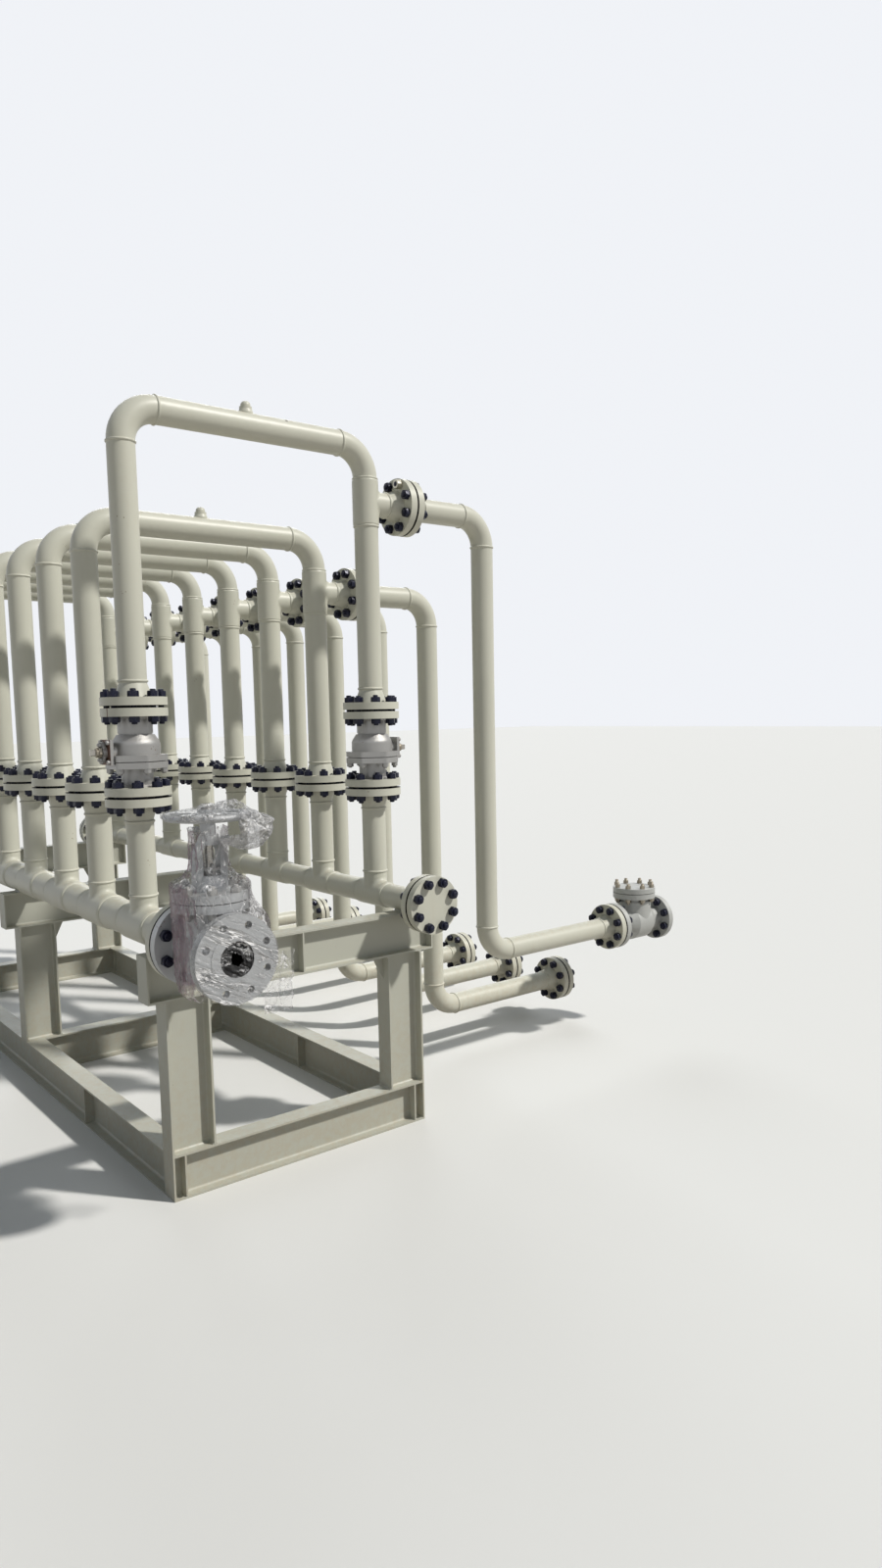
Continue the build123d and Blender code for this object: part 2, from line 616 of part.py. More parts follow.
with BuildPart() as gate_wheel:
    wheel_centre = gate_axis + UP * WHEEL_HEIGHT
    with BuildSketch(Plane(origin=wheel_centre, x_dir=RIGHT, z_dir=FRONT)) as rim:
        with Locations(((WHEEL_DIAMETER - WHEEL_RIM) / 2, 0)):
            Circle(WHEEL_RIM / 2)
    revolve(rim.sketch, axis=Axis(wheel_centre, UP))
    rod(wheel_centre + DOWN * WHEEL_HUB_LENGTH / 2, UP, WHEEL_HUB, WHEEL_HUB_LENGTH)
    sleeve = WHEEL_HEIGHT - WHEEL_HUB_LENGTH / 2 - YOKE_HEIGHT - RUNNING_GAP
    rod(gate_axis + UP * (YOKE_HEIGHT + RUNNING_GAP), UP, YOKE_SLEEVE, sleeve)
    with BuildSketch(Plane(origin=wheel_centre + DOWN * WHEEL_SPOKE / 2, z_dir=UP)) as spokes:
        with PolarLocations(WHEEL_DIAMETER / 4, WHEEL_SPOKES, start_angle=180 / WHEEL_SPOKES):
            Rectangle((WHEEL_DIAMETER - WHEEL_RIM) / 2, WHEEL_SPOKE)
    extrude(spokes.sketch, amount=WHEEL_SPOKE)
    circles(Plane(origin=wheel_centre + UP * WHEEL_HUB_LENGTH / 2, z_dir=UP), Locations((0, 0)), stem_hole,
            WHEEL_HUB_LENGTH + sleeve)
save(gate_wheel.part, "gate_valve_handwheel")

# Swing check valve on the first inlet
check_axis = Vector(check_x, unit_rows[0], FIRST_INLET_HEIGHT)
half = CHECK_LENGTH / 2
check_end = flange_end() + [
    (FLANGE_HUB / 2, FLANGE_THICK), (CHECK_NECK / 2, FLANGE_THICK + CHECK_NECK_TAPER),
    (CHECK_NECK / 2, half - CHECK_BELLY_LENGTH / 2), (CHECK_BELLY / 2, half - CHECK_BELLY_LENGTH / 4)]
check_outlet = Plane(origin=check_axis + RIGHT * half, x_dir=BACK, z_dir=RIGHT)
with BuildPart() as check_body:
    turned(check_axis + LEFT * half, RIGHT, check_end + far_end(CHECK_LENGTH, check_end))
    rod(check_axis, UP, CHECK_SHOULDER, CHECK_SHOULDER_HEIGHT)
    rod(check_axis, UP, CHECK_TOWER, CHECK_JOINT)
    rod(check_axis + UP * (CHECK_JOINT - CHECK_COVER_THICK), UP, CHECK_COVER, CHECK_COVER_THICK)
    circles(check_outlet, Locations((0, 0)), BORE, CHECK_BORE_DEPTH)
    circles(check_outlet, PolarLocations(BOLT_CIRCLE / 2, BOLT_COUNT, start_angle=180 / BOLT_COUNT),
            BOLT_HOLE, FLANGE_THICK)
save(check_body.part, "check_valve_body")

with BuildPart() as check_cover:
    rod(check_axis + UP * CHECK_JOINT, UP, CHECK_COVER_FACE, CHECK_COVER_GAP)
    rod(check_axis + UP * (CHECK_JOINT + CHECK_COVER_GAP), UP, CHECK_COVER, CHECK_COVER_THICK)
    fillet(edges().sort_by(Axis.Z)[-1], CHECK_COVER_ROUND)
save(check_cover.part, "check_valve_cover")
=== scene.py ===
"""Looks of the production manifold: paint, bolting, weld beads, valve trim and stretch film."""
import json
import math
import random

import bmesh
import bpy
from mathutils import Matrix, Vector, noise

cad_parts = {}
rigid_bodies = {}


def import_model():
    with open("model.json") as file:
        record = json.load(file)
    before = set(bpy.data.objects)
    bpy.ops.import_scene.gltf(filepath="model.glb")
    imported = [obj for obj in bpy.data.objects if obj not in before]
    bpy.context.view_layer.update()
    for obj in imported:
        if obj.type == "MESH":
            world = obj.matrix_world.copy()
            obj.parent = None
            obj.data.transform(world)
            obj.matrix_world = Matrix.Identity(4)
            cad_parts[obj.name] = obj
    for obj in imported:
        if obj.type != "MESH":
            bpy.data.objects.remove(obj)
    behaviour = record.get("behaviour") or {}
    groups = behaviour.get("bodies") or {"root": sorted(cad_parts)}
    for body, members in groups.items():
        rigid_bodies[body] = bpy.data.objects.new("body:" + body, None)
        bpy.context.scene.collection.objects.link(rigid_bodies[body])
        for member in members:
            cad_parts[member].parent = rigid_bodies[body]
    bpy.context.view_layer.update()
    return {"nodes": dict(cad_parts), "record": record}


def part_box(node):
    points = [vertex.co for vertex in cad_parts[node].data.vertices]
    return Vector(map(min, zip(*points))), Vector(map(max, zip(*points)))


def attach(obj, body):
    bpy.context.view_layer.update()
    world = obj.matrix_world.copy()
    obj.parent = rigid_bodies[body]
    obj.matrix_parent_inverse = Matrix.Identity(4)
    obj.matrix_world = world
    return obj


bl_info = {
    "name": "Production manifold looks",
    "version": (1, 0, 0),
    "blender": (4, 5, 0),
    "location": "3D View > Sidebar > Manifold",
    "description": "Dresses the packed pipe manifold with bolting, welds, trim, film and paint",
    "category": "Object",
}

for stray in list(bpy.data.objects):
    bpy.data.objects.remove(stray)

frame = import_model()
BODY = "manifold"

# Without a seed the beads' unevenness changes from run to run
noise.seed_set(5)

# Standard sizes of the pipework, in metres
PIPE = 0.0889
BIG_PIPE = 0.1143
BORE = 0.078
BIG_BORE = 0.1023
ELBOW = 0.1143
TEE_REACH = 0.0857
BIG_TEE_REACH = 0.1048
BIG_TEE_OUTLET = 0.0984
FLANGE = 0.2096
FLANGE_THICK = 0.0284
FLANGE_NECK = 0.0794
BOLT_CIRCLE = 0.1681
BIG_FLANGE_THICK = 0.0318
BIG_FLANGE_NECK = 0.0857
BIG_BOLT_CIRCLE = 0.2002
GASKET = 0.0045
RAISED_FACE = 0.0016
BOLT_COUNT = 8

# Sizes of this manifold's own parts, as its solids have them
DROP_OFFSET = 0.565
BALL_LENGTH = 0.2824
POST_DEPTH = 0.150
POST_FLANGE = 0.007
POST_WEB = 0.005

# The valves' own joints: bolt circles, and places below a ball valve's top face or above a body's middle
BALL_TAIL_JOINT = 0.194
BALL_TAIL_CIRCLE = 0.168
BALL_TAIL_BOLTS = 6
BALL_STEM = 0.140
STEM_PAD = 0.1
BONNET_JOINT = 0.1515
BONNET_CIRCLE = 0.190
GATE_GLAND = 0.2215
GLAND_EYES = 0.2435
WHEEL_TOP = 0.4118
COVER_JOINT = 0.1435
COVER_CIRCLE = 0.172

# Studs, as diameter and two ends, and nuts, as width and height
TAIL_STUD = (0.014, -0.030, 0.019)
TAIL_NUT = (0.022, 0.0140)
BONNET_STUD = (0.017, -0.050, 0.050)
BONNET_NUT = (0.027, 0.0165)
COVER_STUD = (0.015, -0.048, 0.052)
COVER_NUT = (0.022, 0.0150)
PAD_STUD = (0.009, -0.014, 0.0125)
EYE_STUD = (0.009, -0.022, 0.014)
GLAND_NUT = (0.014, 0.008)
WASHER = (0.0098, 0.0185, 0.003)

# Nuts on a ball valve's stem: size, height above the pad and turn
STEM_NUTS = (((0.032, 0.009), 0.0155, 0.3), ((0.027, 0.008), 0.0250, 0.9))

# How far the nuts sit from a joint's middle, and the small ones from a stem's middle
TAIL_SEAT = 0.0001
BONNET_SEAT = 0.0265
COVER_SEAT = 0.0255
PAD_SEAT = 0.014
PAD_GLAND = 0.0235
PAD_CORNER = 0.031
EYE_REACH = 0.024

# Outlines of the gate valve's gland and of its wheel's ring nut, as radius and height
GLAND = ((0.0138, 0), (0.021, 0), (0.021, 0.012), (0.030, 0.014), (0.030, 0.022), (0.0138, 0.022))
RING_NUT = ((0.0138, 0), (0.0225, 0), (0.0225, 0.0075), (0.0205, 0.0095), (0.0138, 0.0095))

# Reach of a flange and of all the rows from their middle
FLANGE_RIM = 0.13
ALL_ROWS = 2.0

# How far from an edge the paint, the rust and the bare metal of bores and joints, painted near-black as bare
# metal and painted shade, begin
PAINT_EDGE = 0.0005
RUST_EDGE = 0.0006
BORE_EDGE = 0.0004
JOINT_EDGE = 0.0003

# Half length of the skid's beads, and how far from a pipe's middle its beads lie, as a share of its radius
BEAD_HALF = 0.036
PIPE_TOE = 0.42

# The smudge on the first loop, from the axis of its top run at X = 0
SMUDGE_PLACE = Vector((0.12, -0.0286, 0.0341))

UP = Vector((0, 0, 1))
RIGHT = Vector((1, 0, 0))
BACK = Vector((0, 1, 0))


def srgb(red, green, blue):
    """A colour given as it looks on a screen, 0 to 255, as linear light."""
    def linear(level):
        level /= 255
        return level / 12.92 if level <= 0.04045 else ((level + 0.055) / 1.055) ** 2.4
    return (linear(red), linear(green), linear(blue), 1.0)


def middle(node):
    """The middle of a CAD node's box."""
    low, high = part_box(node)
    return (low + high) / 2


# Places read from the frame
UNITS = sum(name.startswith("loop_") for name in frame["nodes"])
ROWS = [middle(f"drop_leg_{number}").y for number in range(1, UNITS + 1)]
LEFT_X = middle("risers_left").x
RIGHT_X = middle("risers_right").x
LEFT_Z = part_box("header_left")[0].z + 0.254 / 2
RIGHT_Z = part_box("header_right")[0].z + FLANGE / 2
RISER_FACES = {LEFT_X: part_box("risers_left")[1].z, RIGHT_X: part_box("risers_right")[1].z}
LEFT_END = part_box("header_left")[1].y
RIGHT_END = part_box("header_right")[1].y
VALVE_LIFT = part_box("drop_leg_1")[1].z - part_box("drop_leg_2")[1].z
GATE = Vector((LEFT_X, middle("gate_valve_body").y, LEFT_Z))
GATE_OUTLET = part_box("gate_valve_body")[0].y
CHECK = Vector((middle("check_valve_body").x, ROWS[0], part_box("drop_leg_1")[0].z + FLANGE / 2))
CHECK_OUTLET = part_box("check_valve_body")[1].x


def unit_heights(number):
    """Heights of a unit's loop feet, loop top, branch and inlet, read from its nodes."""
    leg_low, leg_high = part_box(f"drop_leg_{number}")
    branch = leg_high.z - FLANGE / 2
    lift = VALVE_LIFT if number == 1 else 0.0
    feet = {column: face + GASKET + lift for column, face in RISER_FACES.items()}
    top = branch + TEE_REACH + ELBOW
    return {"feet": feet, "branch": branch, "top": top, "inlet": leg_low.z + FLANGE / 2}


# What properties of one kind share
COLOUR = {"size": 4, "min": 0.0, "max": 1.0, "subtype": "COLOR"}
LENGTH = {"subtype": "DISTANCE", "unit": "LENGTH"}
SHARE = {"min": 0.0, "max": 1.0, "subtype": "FACTOR"}


class ManifoldSizes(bpy.types.PropertyGroup):
    """Sizes of what is added to the pipework."""

    nut_across: bpy.props.FloatProperty(
        name="Nut across flats", description="Width of the flange nuts", default=0.03175, min=0.01, **LENGTH)
    nut_height: bpy.props.FloatProperty(
        name="Nut height", description="Height of the flange nuts", default=0.0188, min=0.005, **LENGTH)
    stud: bpy.props.FloatProperty(
        name="Stud diameter", description="Thickness of the flange studs", default=0.019, min=0.005, **LENGTH)
    stud_proud: bpy.props.FloatProperty(
        name="Stud past the nut", description="How far a stud stands out of its nut", default=0.007,
        min=0.0, **LENGTH)
    weld_width: bpy.props.FloatProperty(
        name="Weld width", description="Width of the weld beads on the pipes", default=0.010,
        min=0.002, **LENGTH)
    weld_crown: bpy.props.FloatProperty(
        name="Weld crown", description="Height of the weld beads on the pipes", default=0.0036,
        min=0.0002, **LENGTH)
    fillet_leg: bpy.props.FloatProperty(
        name="Fillet weld", description="Leg of the skid's fillet welds", default=0.006, min=0.001, **LENGTH)


class FilmSettings(bpy.types.PropertyGroup):
    """The stretch film round the gate valve."""

    # Near-white at the folds: creased film whitens, and the folds also stand in for its glints as painted
    # highlight
    colour: bpy.props.FloatVectorProperty(
        name="Film colour", description="Colour of the clear film where it folds",
        default=srgb(250, 250, 252), **COLOUR)
    clear_colour: bpy.props.FloatVectorProperty(
        name="Clear film colour", description="Colour of the film where it lies flat",
        default=srgb(206, 206, 210), **COLOUR)
    # The film's own pink tint, darkened as painted shade for the shaded side
    shade_tint: bpy.props.FloatVectorProperty(
        name="Film tint", description="Colour of the film where it is wound deep",
        default=srgb(138, 92, 112), **COLOUR)
    clear_alpha: bpy.props.FloatProperty(
        name="Clear film", description="How much one flat layer covers", default=0.13, **SHARE)
    fold_alpha: bpy.props.FloatProperty(
        name="Folded film", description="How much a fold covers", default=0.90, **SHARE)
    wrinkle: bpy.props.FloatProperty(
        name="Wrinkles", description="How far the creases stand out", default=0.0035,
        min=0.0, max=0.02, **LENGTH)


class ManifoldColours(bpy.types.PropertyGroup):
    """Colours and finish of the manifold."""

    pipe: bpy.props.FloatVectorProperty(
        name="Pipe paint", description="Top coat of the pipework", default=srgb(204, 204, 191), **COLOUR)
    skid: bpy.props.FloatVectorProperty(
        name="Skid paint", description="Top coat of the beams", default=srgb(184, 185, 174), **COLOUR)
    dust: bpy.props.FloatVectorProperty(
        name="Dust", description="Site dust on upward faces and low pipes",
        default=srgb(176, 150, 112), **COLOUR)
    bolting: bpy.props.FloatVectorProperty(
        name="Bolt coating", description="Coating of the studs and nuts", default=srgb(20, 23, 44), **COLOUR)
    plated: bpy.props.FloatVectorProperty(
        name="Plated nut", description="Zinc plate of the one odd nut", default=srgb(186, 182, 168), **COLOUR)
    rust: bpy.props.FloatVectorProperty(
        name="Rust", description="Bare machined faces that have rusted", default=srgb(98, 68, 52), **COLOUR)
    silver: bpy.props.FloatVectorProperty(
        name="Valve silver", description="Aluminium paint of the ball valves",
        default=srgb(162, 161, 159), **COLOUR)
    gate: bpy.props.FloatVectorProperty(
        name="Gate valve silver", description="Paler aluminium paint of the gate valve",
        default=srgb(184, 186, 188), **COLOUR)
    grey: bpy.props.FloatVectorProperty(
        name="Valve grey", description="Paint of the check valve", default=srgb(182, 184, 182), **COLOUR)
    dust_amount: bpy.props.FloatProperty(
        name="Dust amount", description="How much dust lies on the paint", default=0.26, **SHARE)


# Colours that no property changes
PAINT_SPECK = srgb(146, 128, 104)
CAST_SPECK = srgb(112, 88, 68)
SMUDGE = srgb(70, 62, 54)
# Near-black of bare bores and joint faces: bare metal darkened further as painted shade in those recesses
SHADED_BARE_FACE = srgb(30, 28, 27)
WORN_THREAD = srgb(92, 88, 84)
STEM_STEEL = srgb(168, 164, 156)
STEM_RUST = srgb(110, 80, 56)
VALVE_NUTS = srgb(152, 144, 130)
GRAPHITE = (0.012, 0.012, 0.013, 1)
WINDING = (0.05, 0.05, 0.052, 1)

THREAD_PITCH = 2.5


# Node helpers

def feed(tree, made, inputs):
    """Link or set a node's inputs, given by name or number."""
    for name, value in inputs.items():
        if isinstance(value, bpy.types.NodeSocket):
            tree.links.new(value, made.inputs[name])
        else:
            made.inputs[name].default_value = value


def node(tree, kind, inputs=None, **settings):
    """Add a node with its settings and its inputs."""
    made = tree.nodes.new(kind)
    for name, value in settings.items():
        setattr(made, name, value)
    feed(tree, made, inputs or {})
    return made


def shader_group(name, inputs, outputs):
    """An empty shader node group with named sockets, and its two end nodes."""
    group = bpy.data.node_groups.new(name, "ShaderNodeTree")
    for label, kind, default in inputs:
        group.interface.new_socket(label, in_out="INPUT", socket_type=kind).default_value = default
    for label, kind in outputs:
        group.interface.new_socket(label, in_out="OUTPUT", socket_type=kind)
    return group, group.nodes.new("NodeGroupInput"), group.nodes.new("NodeGroupOutput")


def object_place(tree):
    """Where a point of the surface lies on the object."""
    return node(tree, "ShaderNodeTexCoord").outputs["Object"]


def coordinate(tree, vector, axis):
    """One coordinate of a vector."""
    return node(tree, "ShaderNodeSeparateXYZ", {0: vector}).outputs[axis]


def mottle(tree, place, scale, detail, roughness=0.5, distortion=0.0):
    """A cloudy value that wanders about 0.5."""
    return node(tree, "ShaderNodeTexNoise", {
        "Vector": place, "Scale": scale, "Detail": detail, "Roughness": roughness,
        "Distortion": distortion}).outputs["Fac"]


def ramp(tree, value, start, end):
    """A smooth mask that rises from 0 at start to 1 at end."""
    return node(tree, "ShaderNodeMapRange", {"Value": value, "From Min": start, "From Max": end},
                interpolation_type="SMOOTHSTEP").outputs["Result"]


def spread(tree, value, low, high, start=0.0, end=1.0):
    """Stretch a value that runs from start to end over another range."""
    return node(tree, "ShaderNodeMapRange", {
        "Value": value, "From Min": start, "From Max": end, "To Min": low, "To Max": high}).outputs["Result"]


def blend_colour(tree, mask, first, second):
    """Mix two colours by a mask."""
    return node(tree, "ShaderNodeMix", {0: mask, 6: first, 7: second}, data_type="RGBA").outputs[2]


def calculate(tree, operation, first, second=0.0):
    """One arithmetic step."""
    return node(tree, "ShaderNodeMath", {0: first, 1: second}, operation=operation).outputs[0]


def times(tree, first, second):
    """One value times another."""
    return calculate(tree, "MULTIPLY", first, second)


def vector_step(tree, operation, first, second=(0, 0, 0), output="Vector"):
    """One step of vector arithmetic."""
    return node(tree, "ShaderNodeVectorMath", {0: first, 1: second}, operation=operation).outputs[output]


def weathering_group():
    """Paint that varies a little, with site dust on upward faces, low down and in runs."""
    group, entry, leave = shader_group(
        "Weathering",
        [("Paint", "NodeSocketColor", (0.6, 0.6, 0.5, 1)), ("Dust", "NodeSocketColor", (0.4, 0.3, 0.2, 1)),
         ("Dust amount", "NodeSocketFloat", 0.3)],
        [("Colour", "NodeSocketColor"), ("Dust mask", "NodeSocketFloat")])
    place = object_place(group)
    shade = spread(group, mottle(group, place, 1.7, 4.0), 0.955, 1.03, start=0.3, end=0.7)
    toned = node(group, "ShaderNodeVectorMath", {0: entry.outputs["Paint"], 3: shade}, operation="SCALE")
    normal = node(group, "ShaderNodeTexCoord").outputs["Normal"]
    upward = ramp(group, coordinate(group, normal, "Z"), 0.35, 1.0)
    low = ramp(group, coordinate(group, place, "Z"), 0.75, 0.02)
    drawn = node(group, "ShaderNodeMapping", {"Vector": place, "Scale": (26.0, 26.0, 1.6)}).outputs["Vector"]
    runs = ramp(group, mottle(group, drawn, 1.0, 3.0), 0.56, 0.74)
    lying = calculate(group, "MAXIMUM", times(group, upward, 0.75), times(group, low, 0.85))
    settled = calculate(group, "ADD", lying, times(group, runs, 0.28))
    patches = ramp(group, mottle(group, place, 38.0, 6.0, roughness=0.7), 0.36, 0.66)
    mask = node(group, "ShaderNodeMath", {0: times(group, settled, patches), 1: entry.outputs["Dust amount"]},
                operation="MULTIPLY", use_clamp=True).outputs[0]
    colour = blend_colour(group, mask, toned.outputs[0], entry.outputs["Dust"])
    feed(group, leave, {"Colour": colour, "Dust mask": mask})
    return group


def skin_group():
    """Height of a painted or cast skin: a soft waviness and a fine grain."""
    group, entry, leave = shader_group(
        "Surface skin",
        [("Wave scale", "NodeSocketFloat", 30.0), ("Grain scale", "NodeSocketFloat", 400.0),
         ("Grain share", "NodeSocketFloat", 0.4)],
        [("Height", "NodeSocketFloat")])
    place = object_place(group)
    wave = mottle(group, place, entry.outputs["Wave scale"], 2.0)
    grain = mottle(group, place, entry.outputs["Grain scale"], 3.0)
    height = node(group, "ShaderNodeMix", {0: entry.outputs["Grain share"], 2: wave, 3: grain}).outputs[0]
    feed(group, leave, {"Height": height})
    return group


def spots_group():
    """Small scattered spots, for rust specks and chipped paint."""
    group, entry, leave = shader_group(
        "Specks", [("Scale", "NodeSocketFloat", 60.0), ("Rarity", "NodeSocketFloat", 0.7)],
        [("Mask", "NodeSocketFloat")])
    place = object_place(group)
    cells = node(group, "ShaderNodeTexVoronoi", {"Vector": place, "Scale": entry.outputs["Scale"]})
    dots = ramp(group, cells.outputs["Distance"], 0.22, 0.12)
    over = calculate(group, "SUBTRACT", mottle(group, place, 9.0, 3.0), entry.outputs["Rarity"])
    feed(group, leave, {"Mask": times(group, dots, ramp(group, over, -0.02, 0.03))})
    return group


def crease_group():
    """Creased stretch film: how much it folds, and the height of its creases."""
    group, entry, leave = shader_group(
        "Film creases",
        [("Place", "NodeSocketVector", (0.0, 0.0, 0.0)), ("Scale", "NodeSocketFloat", 40.0)],
        [("Folds", "NodeSocketFloat"), ("Height", "NodeSocketFloat")])
    place = entry.outputs["Place"]
    scale = entry.outputs["Scale"]

    def crossing(size, detail):
        """How far a noise is from its middle level, which it crosses along wandering lines."""
        level = mottle(group, place, size, detail, distortion=0.6)
        return calculate(group, "ABSOLUTE", calculate(group, "SUBTRACT", level, 0.5))

    long_creases = crossing(scale, 1.0)
    short_creases = crossing(times(group, scale, 2.3), 2.0)
    patches = ramp(group, mottle(group, place, 17.0, 4.0, roughness=0.6), 0.46, 0.62)
    broken = calculate(group, "ADD", 0.4, times(group, patches, 0.6))
    lines = calculate(group, "MAXIMUM", times(group, ramp(group, long_creases, 0.045, 0.0), broken),
                      times(group, ramp(group, short_creases, 0.065, 0.0), patches))
    folds = node(group, "ShaderNodeMath", {0: lines, 1: times(group, patches, 0.12)},
                 operation="ADD", use_clamp=True).outputs[0]
    height = calculate(group, "ADD", times(group, long_creases, 2.0), short_creases)
    feed(group, leave, {"Folds": folds, "Height": height})
    return group


def inside_box(tree, place, centre, half):
    """A mask that is 1 inside a box, given by its middle and half its sides."""
    offset = vector_step(tree, "DIVIDE", vector_step(tree, "SUBTRACT", place, centre), half)
    parts = node(tree, "ShaderNodeSeparateXYZ", {0: vector_step(tree, "ABSOLUTE", offset)}).outputs
    furthest = calculate(tree, "MAXIMUM", calculate(tree, "MAXIMUM", parts["X"], parts["Y"]), parts["Z"])
    return calculate(tree, "LESS_THAN", furthest, 1.0)


def joint_shade_group():
    """The bare machined faces inside the flange joints, which no paint reaches, painted near-black as painted
    shade in the gaps.
    """
    group, _, leave = shader_group("Joint faces", [], [("Mask", "NodeSocketFloat")])
    place = object_place(group)
    gap = GASKET / 2 + RAISED_FACE + JOINT_EDGE
    slabs = []
    for column, face in RISER_FACES.items():
        joint = face + GASKET / 2
        slabs.append(((column, 0, joint), (FLANGE_RIM, ALL_ROWS, gap)))
        slabs.append(((column, ROWS[0], joint + VALVE_LIFT), (FLANGE_RIM, FLANGE_RIM, gap)))
    for name in ("loop_2", "drop_leg_2"):
        slabs.append(((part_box(name)[1].x + GASKET / 2, 0, 1.2), (gap, ALL_ROWS, ALL_ROWS)))
    for side in (-1, 1):
        for column, end, height in ((LEFT_X, LEFT_END, LEFT_Z), (RIGHT_X, RIGHT_END, RIGHT_Z)):
            slabs.append(((column, side * (end + GASKET / 2), height), (FLANGE_RIM, gap, FLANGE_RIM)))
    mask = 0.0
    for centre, half in slabs:
        mask = calculate(group, "MAXIMUM", inside_box(group, place, centre, half), mask)
    feed(group, leave, {"Mask": mask})
    return group


GROUPS = {}


def use_group(tree, maker, inputs):
    """A shared node group, built the first time it is used, with its inputs set or linked."""
    if maker not in GROUPS:
        GROUPS[maker] = maker()
    return node(tree, "ShaderNodeGroup", inputs, node_tree=GROUPS[maker])


def new_material(name):
    """A material with only its surface shader, and that shader."""
    material = bpy.data.materials.new(name)
    material.use_nodes = True
    return material, material.node_tree, material.node_tree.nodes["Principled BSDF"]


def seen_directly(tree):
    """1 for what the camera, a reflection or a clear surface shows."""
    rays = node(tree, "ShaderNodeLightPath").outputs
    mirrored = calculate(tree, "MAXIMUM", rays["Is Glossy Ray"], rays["Is Transmission Ray"])
    return calculate(tree, "MAXIMUM", rays["Is Camera Ray"], mirrored)


def bump(tree, height, distance, strength=1.0):
    """A normal bumped by a height."""
    return node(tree, "ShaderNodeBump", {
        "Height": height, "Distance": distance, "Strength": strength}).outputs["Normal"]


def skin(tree, wave, grain, share):
    """The height of a painted, cast or turned skin."""
    return use_group(tree, skin_group, {
        "Wave scale": wave, "Grain scale": grain, "Grain share": share}).outputs["Height"]


def specks(tree, scale, rarity):
    """A mask of small spots."""
    return use_group(tree, spots_group, {"Scale": scale, "Rarity": rarity}).outputs["Mask"]


def coat(tree, colour, dust=1.0, rarity=0.7, speck=PAINT_SPECK):
    """Weathered paint with a few specks and painted shade in the flange joints' gaps, as a colour and its
    dust mask.
    """
    colours = bpy.context.scene.manifold_colours
    weathered = use_group(tree, weathering_group, {
        "Paint": colour, "Dust": colours.dust, "Dust amount": colours.dust_amount * dust}).outputs
    spotted = blend_colour(tree, specks(tree, 90.0, rarity), weathered["Colour"], speck)
    # The joint faces' mask: bare metal, painted near-black as painted shade in the gaps
    bare = use_group(tree, joint_shade_group, {}).outputs["Mask"]
    return blend_colour(tree, bare, spotted, SHADED_BARE_FACE), weathered["Dust mask"]


def painted(name, colour, roughness=0.42, grain=0.35, dust=1.0, mark=None):
    """Sprayed enamel with orange peel, dust, a few specks and, where given, one dark smudge."""
    material, tree, shader = new_material(name)
    surface, dusty = coat(tree, colour, dust)
    if mark:
        gap = vector_step(tree, "DISTANCE", object_place(tree), mark, output="Value")
        surface = blend_colour(tree, ramp(tree, gap, 0.0065, 0.004), surface, SMUDGE)
    feed(tree, shader, {
        "Base Color": surface, "Roughness": spread(tree, dusty, roughness, 0.85),
        "Normal": bump(tree, skin(tree, 45.0, 600.0, grain), 0.0006, 0.5)})
    return material


def cast_metal(name, colour, metallic=0.45, roughness=0.34, silver_zone=None, rusty_face=None, bore=None):
    """Sand casting under aluminium or grey paint.

    Above and below its silver zone the casting is painted as the pipes are. A rusty face is a bare
    machined face, given by its place along X. A bore, unpainted inside and painted near-black there as
    painted shade, is given by a point on its axis, its axis and its width.
    """
    colours = bpy.context.scene.manifold_colours
    material, tree, shader = new_material(name)
    surface, dusty = coat(tree, colour, dust=0.6, rarity=0.64, speck=CAST_SPECK)
    where = object_place(tree)
    if silver_zone:
        height = coordinate(tree, where, "Z")
        inside = times(tree, calculate(tree, "GREATER_THAN", height, silver_zone[0]),
                       calculate(tree, "LESS_THAN", height, silver_zone[1]))
        cream, _ = coat(tree, colours.pipe)
        surface = blend_colour(tree, inside, cream, surface)
        metallic = times(tree, inside, metallic)
    if rusty_face:
        along = calculate(tree, "SUBTRACT", coordinate(tree, where, "X"), rusty_face)
        bare = calculate(tree, "LESS_THAN", calculate(tree, "ABSOLUTE", along), RUST_EDGE)
        surface = blend_colour(tree, bare, surface, colours.rust)
    if bore:
        on_axis, axis, width = bore
        lever = vector_step(tree, "CROSS_PRODUCT", vector_step(tree, "SUBTRACT", where, on_axis), axis)
        reach = vector_step(tree, "LENGTH", lever, output="Value")
        # Inside the bore: bare metal painted near-black as painted shade
        bored_and_shaded = calculate(tree, "LESS_THAN", reach, width / 2 + BORE_EDGE)
        surface = blend_colour(tree, bored_and_shaded, surface, SHADED_BARE_FACE)
    feed(tree, shader, {
        "Base Color": surface, "Roughness": spread(tree, dusty, roughness, 0.9), "Metallic": metallic,
        "Normal": bump(tree, skin(tree, 90.0, 900.0, 0.55), 0.0014, 0.8)})
    return material


